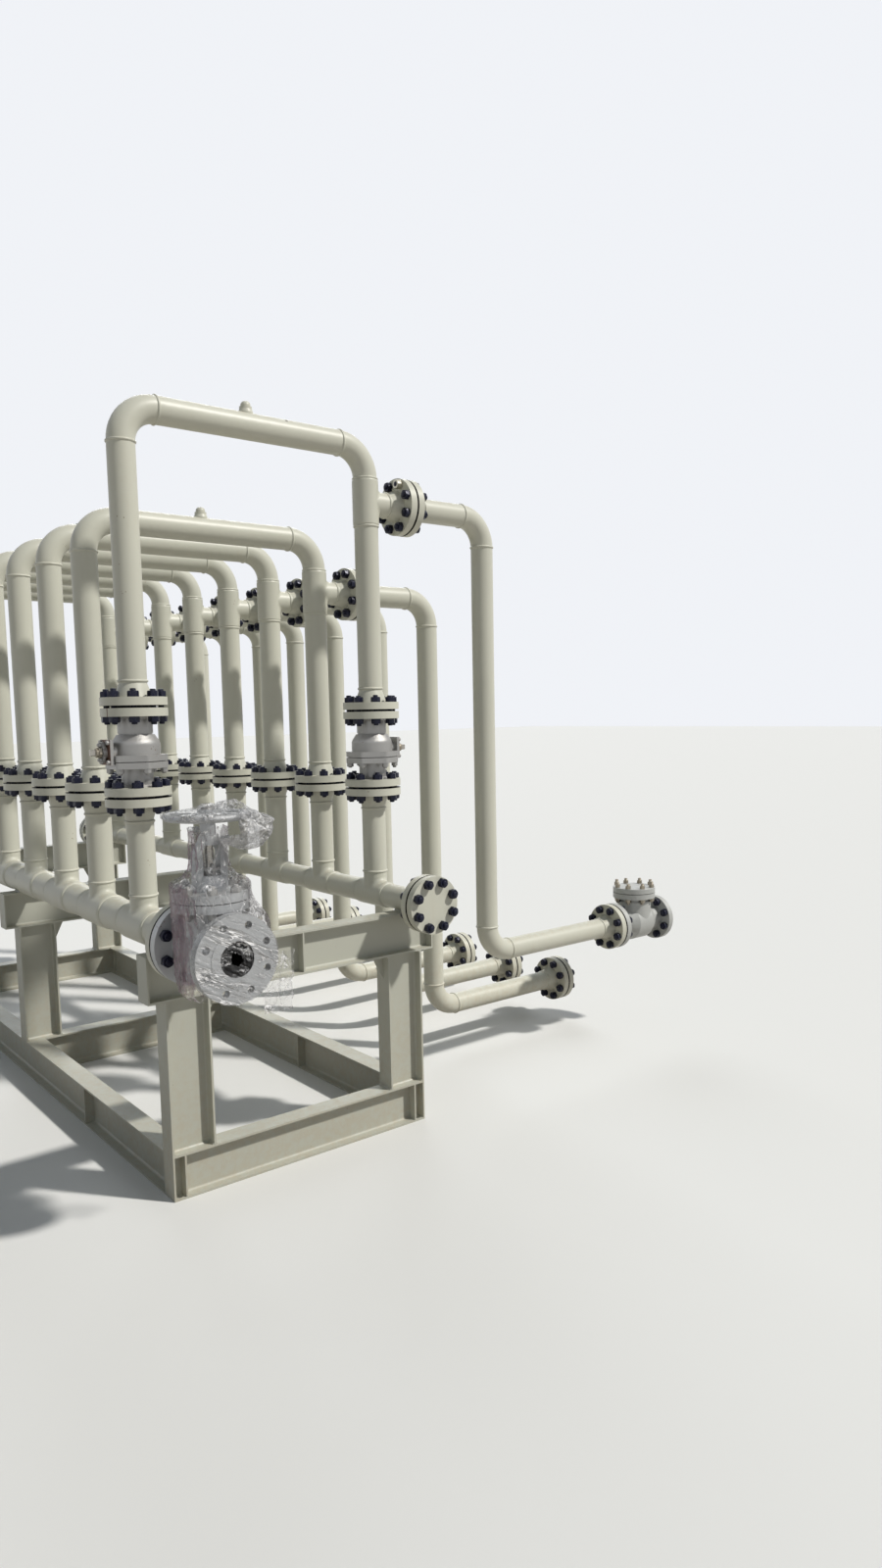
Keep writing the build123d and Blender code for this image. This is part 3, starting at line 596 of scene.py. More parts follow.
def film_material(name, scale, drawn=(1, 1, 1), turn=0.0, layers=1.0, wound=None):
    """Clear stretch film that shows where it folds, near-white partly as painted highlight, its creases drawn
    out as it was pulled.

    Film wound round the valve lies several layers deep above a height; on its shaded side it is darker and
    tinted, painted shade with the film's own pink tint.
    """
    film = bpy.context.scene.manifold_film
    material, tree, shader = new_material(name)
    place = object_place(tree)
    pulled = node(tree, "ShaderNodeMapping", {"Vector": place, "Rotation": (0, turn, 0), "Scale": drawn},
                  vector_type="TEXTURE").outputs["Vector"]
    creases = use_group(tree, crease_group, {"Place": pulled, "Scale": scale}).outputs
    cover = spread(tree, creases["Folds"], film.clear_alpha * layers, film.fold_alpha)
    # Folds turn near-white: whitened film and painted highlight
    shown = blend_colour(tree, creases["Folds"], film.clear_colour, film.colour)
    if wound:
        normal = node(tree, "ShaderNodeTexCoord").outputs["Normal"]
        # On the shaded side the film covers more and turns the darker tint: painted shade
        away = ramp(tree, vector_step(tree, "DOT_PRODUCT", normal, SHADY_SIDE, output="Value"), 0.5, 0.85)
        above = ramp(tree, coordinate(tree, place, "Z"), wound, wound + 0.05)
        layered_and_shaded = calculate(tree, "MAXIMUM", times(tree, away, 0.66), times(tree, above, 0.2))
        cover = calculate(tree, "MAXIMUM", cover, layered_and_shaded)
        shown = blend_colour(tree, times(tree, away, 0.8), shown, film.shade_tint)
    feed(tree, shader, {
        "Base Color": shown, "Alpha": cover, "Roughness": spread(tree, creases["Folds"], 0.14, 0.26),
        "IOR": 1.55, "Normal": bump(tree, creases["Height"], 0.03)})
    return material


def threaded(name, colour, metallic, roughness):
    """Coated or plated bolting; its V coordinate runs along the thread in millimetres."""
    material, tree, shader = new_material(name)
    along = coordinate(tree, node(tree, "ShaderNodeUVMap").outputs["UV"], "Y")
    turns = calculate(tree, "SINE", times(tree, along, math.tau / THREAD_PITCH))
    grain = skin(tree, 160.0, 1200.0, 0.5)
    feed(tree, shader, {
        "Base Color": blend_colour(tree, specks(tree, 260.0, 0.5), colour, WORN_THREAD),
        "Metallic": metallic, "Specular IOR Level": 0.3,
        "Roughness": spread(tree, grain, roughness - 0.08, roughness + 0.12, start=0.3, end=0.7),
        "Normal": bump(tree, turns, 0.0005, 0.6)})
    return material


def gasket_material():
    """Graphite filler in a steel winding, seen on edge."""
    material, tree, shader = new_material("Gasket")
    tone = ramp(tree, skin(tree, 200.0, 900.0, 0.5), 0.4, 0.65)
    feed(tree, shader, {"Base Color": blend_colour(tree, tone, GRAPHITE, WINDING), "Roughness": 0.7})
    return material


def turned_steel():
    """Machined stem steel with fine tool marks."""
    material, tree, shader = new_material("Turned steel")
    height = skin(tree, 500.0, 1500.0, 0.5)
    feed(tree, shader, {
        "Base Color": blend_colour(tree, specks(tree, 180.0, 0.5), STEM_STEEL, STEM_RUST), "Metallic": 0.9,
        "Roughness": ramp(tree, height, 0.0, 1.4), "Normal": bump(tree, height, 0.0003, 0.5)})
    return material


# Mesh helpers

def add_object(name, data):
    """A new object in the scene, at the origin."""
    made = bpy.data.objects.new(name, data)
    bpy.context.scene.collection.objects.link(made)
    return made


def keep_shape(source, name="template"):
    """Store a bmesh as a mesh."""
    mesh = bpy.data.meshes.new(name)
    source.to_mesh(mesh)
    source.free()
    return mesh


def finish_piece(name, source, material, body=BODY, smooth_angle=25):
    """Turn a bmesh into a piece that rides on a body."""
    mesh = keep_shape(source, name)
    mesh.materials.append(material)
    mesh.shade_smooth()
    mesh.set_sharp_from_angle(angle=math.radians(smooth_angle))
    piece = add_object(name, mesh)
    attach(piece, body)
    return piece


def place(target, template, matrix):
    """Add a turned and moved copy of a template to a bmesh."""
    copy = template.copy()
    copy.transform(matrix)
    target.from_mesh(copy)
    bpy.data.meshes.remove(copy)


def frame_matrix(centre, axis, turn=0.0):
    """Place a template whose own axis is Z at a point, along an axis of the frame."""
    across = BACK if axis.x else RIGHT
    turned = Matrix((across, axis.cross(across), axis)).transposed().to_4x4()
    return Matrix.Translation(centre) @ turned @ Matrix.Rotation(turn, 4, "Z")


def mark_length(source, plain=False):
    """Give a template a UV map that runs round it and, in millimetres, along it, unless it is plain."""
    layer = source.loops.layers.uv.new("Length")
    for face in source.faces:
        for loop in face.loops:
            point = loop.vert.co
            loop[layer].uv = (0, 0) if plain else (math.atan2(point.y, point.x) / math.tau, point.z * 1000)


def bar_shape(sides, radius, low, high):
    """A new bmesh of a straight bar round Z, between two heights."""
    source = bmesh.new()
    bmesh.ops.create_cone(source, cap_ends=True, segments=sides, radius1=radius, radius2=radius,
                          depth=high - low)
    bmesh.ops.translate(source, verts=source.verts, vec=(0, 0, (low + high) / 2))
    return source


def bevel(source, geom, offset, affect="EDGES", segments=1):
    """Bevel edges or corners of a bmesh."""
    bmesh.ops.bevel(source, geom=geom, offset=offset, affect=affect, segments=segments, profile=0.5,
                    material=-1)


def nut_shape(across, height):
    """A heavy hexagon nut standing on its bearing face, its top corners chamfered."""
    source = bar_shape(6, across / math.sqrt(3), 0, height)
    corners = [vert for vert in source.verts if vert.co.z > height / 2]
    bevel(source, corners, across * 0.13, affect="VERTICES")
    bevel(source, [edge for edge in source.edges if edge.calc_face_angle(0) > 0.3], across * 0.02)
    mark_length(source, plain=True)
    return keep_shape(source)


def stud_shape(diameter, low, high):
    """A stud between two heights, with rounded ends."""
    source = bar_shape(14, diameter / 2, low, high)
    ends = [edge for edge in source.edges if abs(edge.verts[0].co.z - edge.verts[1].co.z) < 1e-6]
    bevel(source, ends, diameter * 0.16, segments=2)
    mark_length(source)
    return keep_shape(source)


def spun_shape(outline, steps=32):
    """A closed outline of radius and height pairs, turned round Z."""
    source = bmesh.new()
    line = [source.verts.new((radius, 0, height)) for radius, height in outline]
    rim = [source.edges.new((line[i - 1], line[i])) for i in range(len(line))]
    bmesh.ops.spin(source, geom=line + rim, cent=(0, 0, 0), axis=(0, 0, 1), angle=math.tau, steps=steps,
                   use_merge=True)
    bmesh.ops.recalc_face_normals(source, faces=source.faces)
    mark_length(source)
    return keep_shape(source)


def ring_shape(inner, outer, height):
    """A flat ring that stands on its lower face."""
    return spun_shape(((inner, 0), (outer, 0), (outer, height), (inner, height)))


# Places of a weld bead's section, as shares of its crown and width, and of its leg
BUTT_SECTION = ((-0.35, -0.5), (0.62, -0.36), (1.0, -0.13), (1.0, 0.13), (0.62, 0.36), (-0.35, 0.5))
FILLET_SECTION = ((-0.12, -0.12), (1, -0.12), (0.66, 0.66), (-0.12, 1))
FILLET_STEP = 0.009


def weld_shape(radius, width, crown):
    """A closed bead round a pipe."""
    return spun_shape([(radius + crown * high, width * side) for high, side in BUTT_SECTION], steps=40)


def bolt_place(centre, axis, circle, number, count=BOLT_COUNT):
    """Where one stud of a bolt circle stands."""
    turn = (number + 0.5) * math.tau / count
    return frame_matrix(centre, axis, turn) @ Matrix.Translation((circle / 2, 0, 0))


def nut_place(across, seat, turn=0.0):
    """Where a nut sits on its stud; a negative seat's nut faces backwards."""
    flip = Matrix.Rotation(math.pi if seat < 0 else 0, 4, "X")
    return across @ flip @ Matrix.Translation((0, 0, abs(seat))) @ Matrix.Rotation(turn, 4, "Z")


def bolt_ring(target, chance, centre, axis, circle, stud, nut, seats, count=BOLT_COUNT, left_out=None):
    """Studs on a bolt circle, with a nut at each seat but the one left out."""
    for number in range(count):
        across = bolt_place(centre, axis, circle, number, count)
        place(target, stud, across @ Matrix.Translation((0, 0, chance.uniform(-0.002, 0.002))))
        for seat in seats:
            turn = chance.uniform(0, math.tau)
            if (number, seat) != left_out:
                place(target, nut, nut_place(across, seat, turn))


def fillet_bead(target, start, end, away, up, leg):
    """A convex weld bead along a corner, its two legs on the faces towards away and up."""
    source = bmesh.new()
    corners = [start + away * (leg * out) + up * (leg * high) for out, high in FILLET_SECTION]
    face = source.faces.new([source.verts.new(point) for point in corners])
    pulled = bmesh.ops.extrude_face_region(source, geom=[face])
    far = [item for item in pulled["geom"] if isinstance(item, bmesh.types.BMVert)]
    bmesh.ops.translate(source, verts=far, vec=end - start)
    length = (end - start).length
    along = [edge for edge in source.edges if abs(edge.calc_length() - length) < 1e-6]
    bmesh.ops.subdivide_edges(source, edges=along, cuts=max(1, int(length / FILLET_STEP)), use_grid_fill=True)
    bmesh.ops.recalc_face_normals(source, faces=source.faces)
    mesh = keep_shape(source)
    target.from_mesh(mesh)
    bpy.data.meshes.remove(mesh)


# Where the joints and the welds are

def flange_joints():
    """Every bolted pipe joint: its middle, axis, bolt circle and flange thickness."""
    joints = []

    def add(x, y, z, axis, circle=BOLT_CIRCLE, thick=FLANGE_THICK):
        joints.append((Vector((x, y, z)), axis, circle, thick))

    for number, row in enumerate(ROWS, start=1):
        heights = unit_heights(number)
        for column, face in RISER_FACES.items():
            add(column, row, face + GASKET / 2, UP)
            if number == 1:
                add(column, row, heights["feet"][column] - GASKET / 2, UP)
        add(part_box(f"loop_{number}")[1].x + GASKET / 2, row, heights["branch"], RIGHT)
        add(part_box(f"drop_leg_{number}")[1].x + GASKET / 2, row, heights["inlet"], RIGHT)
    for side in (-1, 1):
        add(LEFT_X, side * (LEFT_END + GASKET / 2), LEFT_Z, BACK, BIG_BOLT_CIRCLE, BIG_FLANGE_THICK)
        add(RIGHT_X, side * (RIGHT_END + GASKET / 2), RIGHT_Z, BACK)
    return joints


def butt_welds():
    """Every butt weld: its middle, axis and pipe diameter."""
    welds = []

    def add(x, y, z, axis, across=PIPE):
        welds.append((Vector((x, y, z)), axis, across))

    for number, row in enumerate(ROWS, start=1):
        heights = unit_heights(number)
        branch, inlet, top = heights["branch"], heights["inlet"], heights["top"]
        for column, outlet in ((LEFT_X, LEFT_Z + BIG_TEE_OUTLET), (RIGHT_X, RIGHT_Z + TEE_REACH)):
            foot = heights["feet"][column]
            for height in (outlet, RISER_FACES[column] - FLANGE_NECK, foot + FLANGE_NECK, top - ELBOW):
                add(column, row, height, UP)
        add(RIGHT_X, row, branch - TEE_REACH, UP)
        add(LEFT_X + ELBOW, row, top, RIGHT)
        add(RIGHT_X - ELBOW, row, top, RIGHT)
        leg_low, leg_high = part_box(f"drop_leg_{number}")
        outer_x = RIGHT_X + DROP_OFFSET
        for reach in (RIGHT_X + TEE_REACH, leg_low.x + FLANGE_NECK, outer_x - ELBOW):
            add(reach, row, branch, RIGHT)
        for reach in (outer_x + ELBOW, leg_high.x - FLANGE_NECK):
            add(reach, row, inlet, RIGHT)
        for height in (branch - ELBOW, inlet + ELBOW):
            add(outer_x, row, height, UP)
        for side in (-1, 1):
            add(LEFT_X, row + side * BIG_TEE_REACH, LEFT_Z, BACK, BIG_PIPE)
            add(RIGHT_X, row + side * TEE_REACH, RIGHT_Z, BACK)
    for side in (-1, 1):
        add(LEFT_X, side * (LEFT_END - BIG_FLANGE_NECK), LEFT_Z, BACK, BIG_PIPE)
        add(RIGHT_X, side * (RIGHT_END - FLANGE_NECK), RIGHT_Z, BACK)
    return welds


# Stretch film

# Height above the gate valve's middle, half width and half depth of the body's film, from the top down
BODY_WRAP = (
    (0.358, 0.058, 0.050), (0.344, 0.055, 0.046), (0.310, 0.056, 0.043), (0.265, 0.057, 0.043),
    (0.240, 0.062, 0.052), (0.219, 0.080, 0.076), (0.208, 0.104, 0.103), (0.195, 0.1145, 0.1145),
    (0.176, 0.1132, 0.1132), (0.120, 0.1122, 0.1122), (0.060, 0.1105, 0.1105), (-0.060, 0.1085, 0.1085),
    (-0.108, 0.1020, 0.1020), (-0.127, 0.084, 0.080))

# Level directions: right as the camera sees the valve, the corner that stands off, and the shaded side, where
# the film gets painted shade
IMAGE_RIGHT = Vector((0.891, -0.454, 0))
TENT = Vector((0.66, -0.75, 0))
SHADY_SIDE = Vector((-0.988, 0.156, 0))

# The wheel's film: height above the valve's middle, hole, rim, rise on the rim, and its top's share
WHEEL_PLANE = 0.392
WHEEL_HOLE = 0.0148
WHEEL_RIM = 0.128
RIM_TOP = 0.0118
TOP_SHARE = 0.8

# The outlet's film: its edge's radius, and the share of it that lies on the flange's face
OUTLET_RIM = 0.1285
FACE_SHARE = 0.84


def level_direction(turn):
    """A level direction, by its share of a whole turn from the right."""
    return Vector((math.cos(turn * math.tau), math.sin(turn * math.tau), 0))


def smooth(start, end, value):
    """0 at start, 1 at end, with a soft change between."""
    share = min(1.0, max(0.0, (value - start) / (end - start)))
    return share * share * (3 - 2 * share)


def crease(point):
    """1 on the sharp ridges of a crumpled sheet, falling to 0 in the flats between."""
    return max(0.0, 1 - 3.0 * abs(noise.noise(point)))


def along_profile(rows, share):
    """Values at a share of the way down a table, by the length of its steps."""
    lengths = [math.dist(first, second) for first, second in zip(rows, rows[1:])]
    left = share * sum(lengths)
    for (first, second), length in zip(zip(rows, rows[1:]), lengths):
        if left <= length or second is rows[-1]:
            part = min(1.0, left / length)
            return [a + (b - a) * part for a, b in zip(first, second)]
        left -= length


def film_shape(shape, columns, rows, closed, hole):
    """A flat grid laid over a shape, facing away from the gate valve's middle.

    Closed joins its two sides, and hole says where it is cut away.
    """
    source = bmesh.new()
    bmesh.ops.create_grid(source, x_segments=columns, y_segments=rows, size=0.5)
    for vert in source.verts:
        vert.co = shape(vert.co.x + 0.5, vert.co.y + 0.5)
    if closed:
        bmesh.ops.remove_doubles(source, verts=source.verts, dist=1e-5)
    if hole:
        cut = [face for face in source.faces if hole(face.calc_center_median())]
        bmesh.ops.delete(source, geom=cut, context="FACES")
    source.normal_update()
    if sum(face.normal.dot(face.calc_center_median() - GATE) * face.calc_area() for face in source.faces) < 0:
        bmesh.ops.reverse_faces(source, faces=source.faces)
    return source


# Operators

class MANIFOLD_OT_finishes(bpy.types.Operator):
    """Give every CAD node its finish"""

    bl_idname = "manifold.finishes"
    bl_label = "Finishes"

    def execute(self, context):
        colours = context.scene.manifold_colours
        finishes = {
            "pipe_paint": painted("Pipe paint", colours.pipe),
            "skid_paint": painted("Skid paint", colours.skid, roughness=0.5, grain=0.5),
            "valve_silver": cast_metal("Valve silver", colours.silver),
            "valve_grey": cast_metal("Valve grey", colours.grey, metallic=0.1, roughness=0.5,
                                     bore=(CHECK, RIGHT, BORE)),
            "stem_steel": turned_steel(),
            "gasket": gasket_material(),
        }
        slots = {part["node"]: part["material_slot"] for part in frame["record"]["subparts"]}
        mark = Vector((0, ROWS[0], unit_heights(1)["top"])) + SMUDGE_PLACE
        gate_look = {"metallic": 0.35, "roughness": 0.4}
        gate = cast_metal("Gate valve silver", colours.gate, **gate_look)
        special = {
            "loop_1": painted("Marked pipe paint", colours.pipe, mark=mark),
            "gate_valve_bonnet": gate,
            "gate_valve_handwheel": gate,
            "gate_valve_body": cast_metal("Gate valve body", colours.gate, bore=(GATE, BACK, BIG_BORE),
                                          **gate_look),
        }
        for name, column, out in (("left", LEFT_X, -1), ("right", RIGHT_X, 1)):
            foot = RISER_FACES[column] + GASKET
            head = foot + BALL_LENGTH
            body_zone = (foot, head - FLANGE_THICK - PAINT_EDGE)
            tail_zone = (foot + FLANGE_THICK + PAINT_EDGE, head)
            special[f"ball_valve_{name}_body"] = cast_metal(
                f"Ball valve {name}", colours.silver, silver_zone=body_zone,
                rusty_face=column + out * STEM_PAD)
            special[f"ball_valve_{name}_tail"] = cast_metal(
                f"Ball valve {name} tail", colours.silver, silver_zone=tail_zone)
        for name, part in frame["nodes"].items():
            part.data.materials.clear()
            part.data.materials.append(special.get(name) or finishes[slots[name]])
        return {"FINISHED"}


class MANIFOLD_OT_bolting(bpy.types.Operator):
    """Add the studs and nuts of every pipe joint"""

    bl_idname = "manifold.bolting"
    bl_label = "Bolting"

    def execute(self, context):
        sizes = context.scene.manifold_sizes
        colours = context.scene.manifold_colours
        chance = random.Random(11)
        coated = threaded("Coated bolting", colours.bolting, 0.2, 0.3)
        nut = nut_shape(sizes.nut_across, sizes.nut_height)
        rings = {"riser_bolting": bmesh.new(), "branch_bolting": bmesh.new(), "header_bolting": bmesh.new()}
        odd_joint = Vector((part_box("loop_1")[1].x + GASKET / 2, ROWS[0], unit_heights(1)["branch"]))
        odd_number = 2
        plated = bmesh.new()
        for centre, axis, circle, thick in flange_joints():
            target = rings["riser_bolting" if axis.z else "branch_bolting" if axis.x else "header_bolting"]
            seat = thick + GASKET / 2
            reach = seat + sizes.nut_height + sizes.stud_proud
            odd = (centre - odd_joint).length < 1e-4
            bolt_ring(target, chance, centre, axis, circle, stud_shape(sizes.stud, -reach, reach), nut,
                      (seat, -seat), left_out=(odd_number, -seat) if odd else None)
            if odd:
                across = bolt_place(centre, axis, circle, odd_number)
                place(plated, ring_shape(*WASHER), nut_place(across, -seat))
                place(plated, nut, nut_place(across, -seat - WASHER[2], 0.4))
        outlet_stud = stud_shape(sizes.stud, -FLANGE_THICK - sizes.nut_height - sizes.stud_proud, -0.002)
        outlet = Vector((CHECK_OUTLET, CHECK.y, CHECK.z))
        bolt_ring(rings["branch_bolting"], chance, outlet, RIGHT, BOLT_CIRCLE, outlet_stud, nut,
                  (-FLANGE_THICK,))
        for name, source in rings.items():
            finish_piece(name, source, coated)
        finish_piece("plated_nut", plated, threaded("Plated nut", colours.plated, 0.75, 0.3))
        return {"FINISHED"}


class MANIFOLD_OT_valve_trim(bpy.types.Operator):
    """Add the valves' own studs, nuts, glands and stem nuts"""

    bl_idname = "manifold.valve_trim"
    bl_label = "Valve trim"

    def execute(self, context):
        chance = random.Random(29)
        plated = threaded("Plated bolting", VALVE_NUTS, 0.75, 0.4)
        silvered = threaded("Silvered bolting", context.scene.manifold_colours.silver, 0.5, 0.42)
        gland_nut = nut_shape(*GLAND_NUT)
        for name, column, out in (("left", LEFT_X, -1), ("right", RIGHT_X, 1)):
            top = Vector((column, ROWS[0], RISER_FACES[column] + GASKET + BALL_LENGTH))
            outward = RIGHT * out
            pad = top - UP * BALL_STEM + outward * STEM_PAD
            trim = bmesh.new()
            bolt_ring(trim, chance, top - UP * BALL_TAIL_JOINT, -UP, BALL_TAIL_CIRCLE,
                      stud_shape(*TAIL_STUD), nut_shape(*TAIL_NUT), (TAIL_SEAT,), count=BALL_TAIL_BOLTS)
            for side in (-1, 1):
                seat = frame_matrix(pad + UP * side * PAD_GLAND + outward * PAD_SEAT, outward)
                place(trim, gland_nut, seat)
                place(trim, stud_shape(*PAD_STUD), seat)
                for lift in (-1, 1):
                    corner = pad + (UP * lift + BACK * side) * PAD_CORNER
                    place(trim, gland_nut, frame_matrix(corner, outward, side * 0.4))
            finish_piece(f"{name}_valve_bolting", trim, silvered)
            stem_nut = bmesh.new()
            for size, reach, turn in STEM_NUTS:
                place(stem_nut, nut_shape(*size), frame_matrix(pad + outward * reach, outward, turn))
            finish_piece(f"{name}_stem_nut", stem_nut, plated, body=f"{name}_ball_stem")

        bonnet = bmesh.new()
        bolt_ring(bonnet, chance, GATE + UP * BONNET_JOINT, UP, BONNET_CIRCLE,
                  stud_shape(*BONNET_STUD), nut_shape(*BONNET_NUT), (BONNET_SEAT, -BONNET_SEAT))
        place(bonnet, spun_shape(GLAND), Matrix.Translation(GATE + UP * GATE_GLAND))
        for side in (-1, 1):
            eye = frame_matrix(GATE + UP * GLAND_EYES + BACK * side * EYE_REACH, UP)
            place(bonnet, gland_nut, eye)
            place(bonnet, stud_shape(*EYE_STUD), eye)
        finish_piece("gate_bonnet_bolting", bonnet, silvered)
        wheel_nut = bmesh.new()
        place(wheel_nut, spun_shape(RING_NUT), Matrix.Translation(GATE + UP * WHEEL_TOP))
        finish_piece("wheel_ring_nut", wheel_nut, silvered, body="gate_handwheel")

        cover = bmesh.new()
        bolt_ring(cover, chance, CHECK + UP * COVER_JOINT, UP, COVER_CIRCLE,
                  stud_shape(*COVER_STUD), nut_shape(*COVER_NUT), (COVER_SEAT, -COVER_SEAT))
        finish_piece("check_cover_bolting", cover, plated)
        return {"FINISHED"}


class MANIFOLD_OT_welds(bpy.types.Operator):
    """Add the butt weld beads of the pipework"""

    bl_idname = "manifold.welds"
    bl_label = "Pipe welds"

    def execute(self, context):
        sizes = context.scene.manifold_sizes
        chance = random.Random(5)
        source = bmesh.new()
        beads = {}
        for across in (PIPE, BIG_PIPE):
            beads[across] = weld_shape(across / 2, sizes.weld_width, sizes.weld_crown)
        for centre, axis, across in butt_welds():
            place(source, beads[across], frame_matrix(centre, axis, chance.uniform(0, math.tau)))
        for vert in source.verts:
            vert.co += noise.noise_vector(vert.co * 260) * 0.0006 + noise.noise_vector(vert.co * 60) * 0.0005
        material = painted("Painted weld", context.scene.manifold_colours.pipe, grain=0.6, dust=1.3)
        finish_piece("pipe_welds", source, material, smooth_angle=60)
        return {"FINISHED"}


class MANIFOLD_OT_skid_welds(bpy.types.Operator):
    """Add the fillet welds of the skid"""

    bl_idname = "manifold.skid_welds"
    bl_label = "Skid welds"

    def execute(self, context):
        leg = context.scene.manifold_sizes.fillet_leg
        source = bmesh.new()
        half = BACK * BEAD_HALF
        for name in ("front", "middle", "rear"):
            low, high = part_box(f"posts_{name}")
            beam_low, beam_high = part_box(f"top_beam_{name}")
            row = (low.y + high.y) / 2
            for outer in (low.x, high.x):
                inward = RIGHT * (1 if outer < 0 else -1)
                flanges = ((POST_FLANGE, inward), (POST_DEPTH - POST_FLANGE, -inward), (POST_DEPTH, inward))
                for height, up in ((low.z, UP), (beam_low.z, -UP)):
                    corner = Vector((outer, row, height))
                    for reach, away in flanges:
                        foot = corner + inward * reach
                        fillet_bead(source, foot - half, foot + half, away, up, leg)
                    for side in (-1, 1):
                        web = corner + BACK * side * POST_WEB / 2
                        near, far = web + inward * POST_FLANGE, web + inward * (POST_DEPTH - POST_FLANGE)
                        fillet_bead(source, near, far, BACK * side, up, leg)
            for column, radius in ((LEFT_X, BIG_PIPE / 2), (RIGHT_X, PIPE / 2)):
                for side in (-1, 1):
                    toe = Vector((column + side * radius * PIPE_TOE, row, beam_high.z))
                    fillet_bead(source, toe - half, toe + half, RIGHT * side, UP, leg * 1.2)
        for vert in source.verts:
            vert.co += noise.noise_vector(vert.co * 170) * 0.0005
        material = painted("Skid weld paint", context.scene.manifold_colours.skid, grain=0.6, dust=1.2)
        finish_piece("skid_welds", source, material, smooth_angle=50)
        return {"FINISHED"}


class MANIFOLD_OT_film(bpy.types.Operator):
    """Wrap the gate valve in stretch film"""

    bl_idname = "manifold.film"
    bl_label = "Stretch film"

    def execute(self, context):
        wrinkle = context.scene.manifold_film.wrinkle
        plain = film_material("Stretch film", 24.0, layers=1.3)
        bunched = film_material("Bunched stretch film", 22.0, layers=3.4)
        drawn = film_material("Stretch film drawn down", 26.0, drawn=(1, 1, 2.4), wound=GATE.z + 0.28)
        streaky = film_material("Stretch film drawn across", 46.0, drawn=(6, 1, 1), turn=math.radians(28),
                                layers=0.7)
        wheel = GATE + UP * WHEEL_PLANE
        outlet = Vector((GATE.x, GATE_OUTLET, GATE.z))

        def body_wrap(turn, run):
            level, wide, deep = along_profile(BODY_WRAP, run)
            direction = level_direction(turn)
            behind = smooth(0.72, 0.95, direction.y) * smooth(0.128, 0.108, level)
            tent = 0.066 * max(0.0, direction.dot(TENT)) ** 14
            tent *= smooth(0.188, 0.075, level) * smooth(-0.035, 0.03, level)
            wide += tent
            deep += tent
            reach = Vector((direction.x * wide, direction.y * deep * (1 - 0.22 * behind), level))
            streak = crease(Vector((reach.x * 60, reach.y * 60, reach.z * 13)))
            lump = crease(reach * 34 + Vector((3, 1, 8)))
            loose = 1.6 if level > 0.2 else 1.0
            ragged = 0.012 * noise.noise(direction * 2.5) * (smooth(0.1, 0.0, run) + smooth(0.93, 1.0, run))
            return GATE + reach + direction * wrinkle * loose * (0.55 * streak + 0.45 * lump) + UP * ragged

        def neck_hole(point):
            local = point - GATE
            return abs(local.y) > 0.05 and math.hypot(local.x, local.z) < 0.0735

        def wheel_cover(turn, run):
            direction = level_direction(turn)
            top = min(1.0, run / TOP_SHARE)
            spot = direction * (WHEEL_HOLE + (WHEEL_RIM - WHEEL_HOLE) * top)
            fine = crease(spot * 75 + Vector((1, 9, 4)))
            if run > TOP_SHARE:
                inward = 0.01 * smooth(0.9, 1.0, run)
                level = RIM_TOP - (run - TOP_SHARE) * 0.11
                return wheel + spot + direction * (0.002 * fine - inward) + UP * level
            across = math.sin(math.pi * top)
            hood = math.exp(-((spot - IMAGE_RIGHT * 0.082).length / 0.058) ** 2)
            rise = RIM_TOP + 0.0235 * (1 - top) ** 3 + 0.020 * hood * across
            lump = crease(spot * 30 + Vector((5, 2, 1)))
            rough = (0.0022 + 0.010 * smooth(-0.45, 0.55, direction.dot(IMAGE_RIGHT))) * (0.25 + across)
            return wheel + spot + UP * (rise + rough * (0.7 * lump + 0.3 * fine))

        def pouch(turn, run):
            nearer = IMAGE_RIGHT.cross(UP)
            full = max(0.0, 1 - abs(2 * run - 1) ** 2.4) ** 0.5
            slump = 1 + 0.18 * math.sin(run * math.pi * 1.2)
            across = IMAGE_RIGHT * 0.072 * full * math.cos(turn * math.tau)
            depth = nearer * 0.042 * full * math.sin(turn * math.tau)
            centre = IMAGE_RIGHT * (0.097 + 0.008 * run) + nearer * 0.070
            local = centre + across * slump + depth + UP * (0.026 - 0.118 * run)
            out = (across + depth).normalized() if full > 0.05 else UP * (1 if run < 0.5 else -1)
            lump = crease(local * 19 + Vector((2, 7, 3))) - 0.4
            return wheel + local + out * (0.012 * lump + 0.004 * crease(local * 52))

        def pouch_mouth(point):
            return (point - wheel).dot(IMAGE_RIGHT) < 0.09 and point.z > wheel.z - 0.055

        def face_cover(turn, run):
            direction = Vector((math.cos(turn * math.tau), 0, math.sin(turn * math.tau)))
            hole = 0.017 + 0.009 * noise.noise(direction * 1.7 + Vector((4, 4, 4)))
            radius = hole + (OUTLET_RIM - hole) * min(1.0, run / FACE_SHARE)
            point = direction * radius
            if run > FACE_SHARE:
                edge = 0.002 * crease(point * 60 + BACK * run * 9)
                return outlet + point + BACK * (run - FACE_SHARE) * 0.19 + direction * edge
            x, z = point.x, point.z
            swirl = Vector((x * 9 + z * 4, 0, z * 58 + x * 26 + 190 * x * x))
            dimple = 0.0
            for number in range(BOLT_COUNT):
                spot = (number + 0.5) * math.tau / BOLT_COUNT
                bolt = Vector((math.cos(spot), 0, math.sin(spot))) * BIG_BOLT_CIRCLE / 2
                dimple += 0.007 * math.exp(-((point - bolt).length / 0.0085) ** 4)
            bore = 0.007 * smooth(0.051, 0.042, radius) * (0.6 + crease(point * 70))
            return outlet + point + BACK * (dimple + bore - 0.0014 - 0.0026 * crease(swirl))

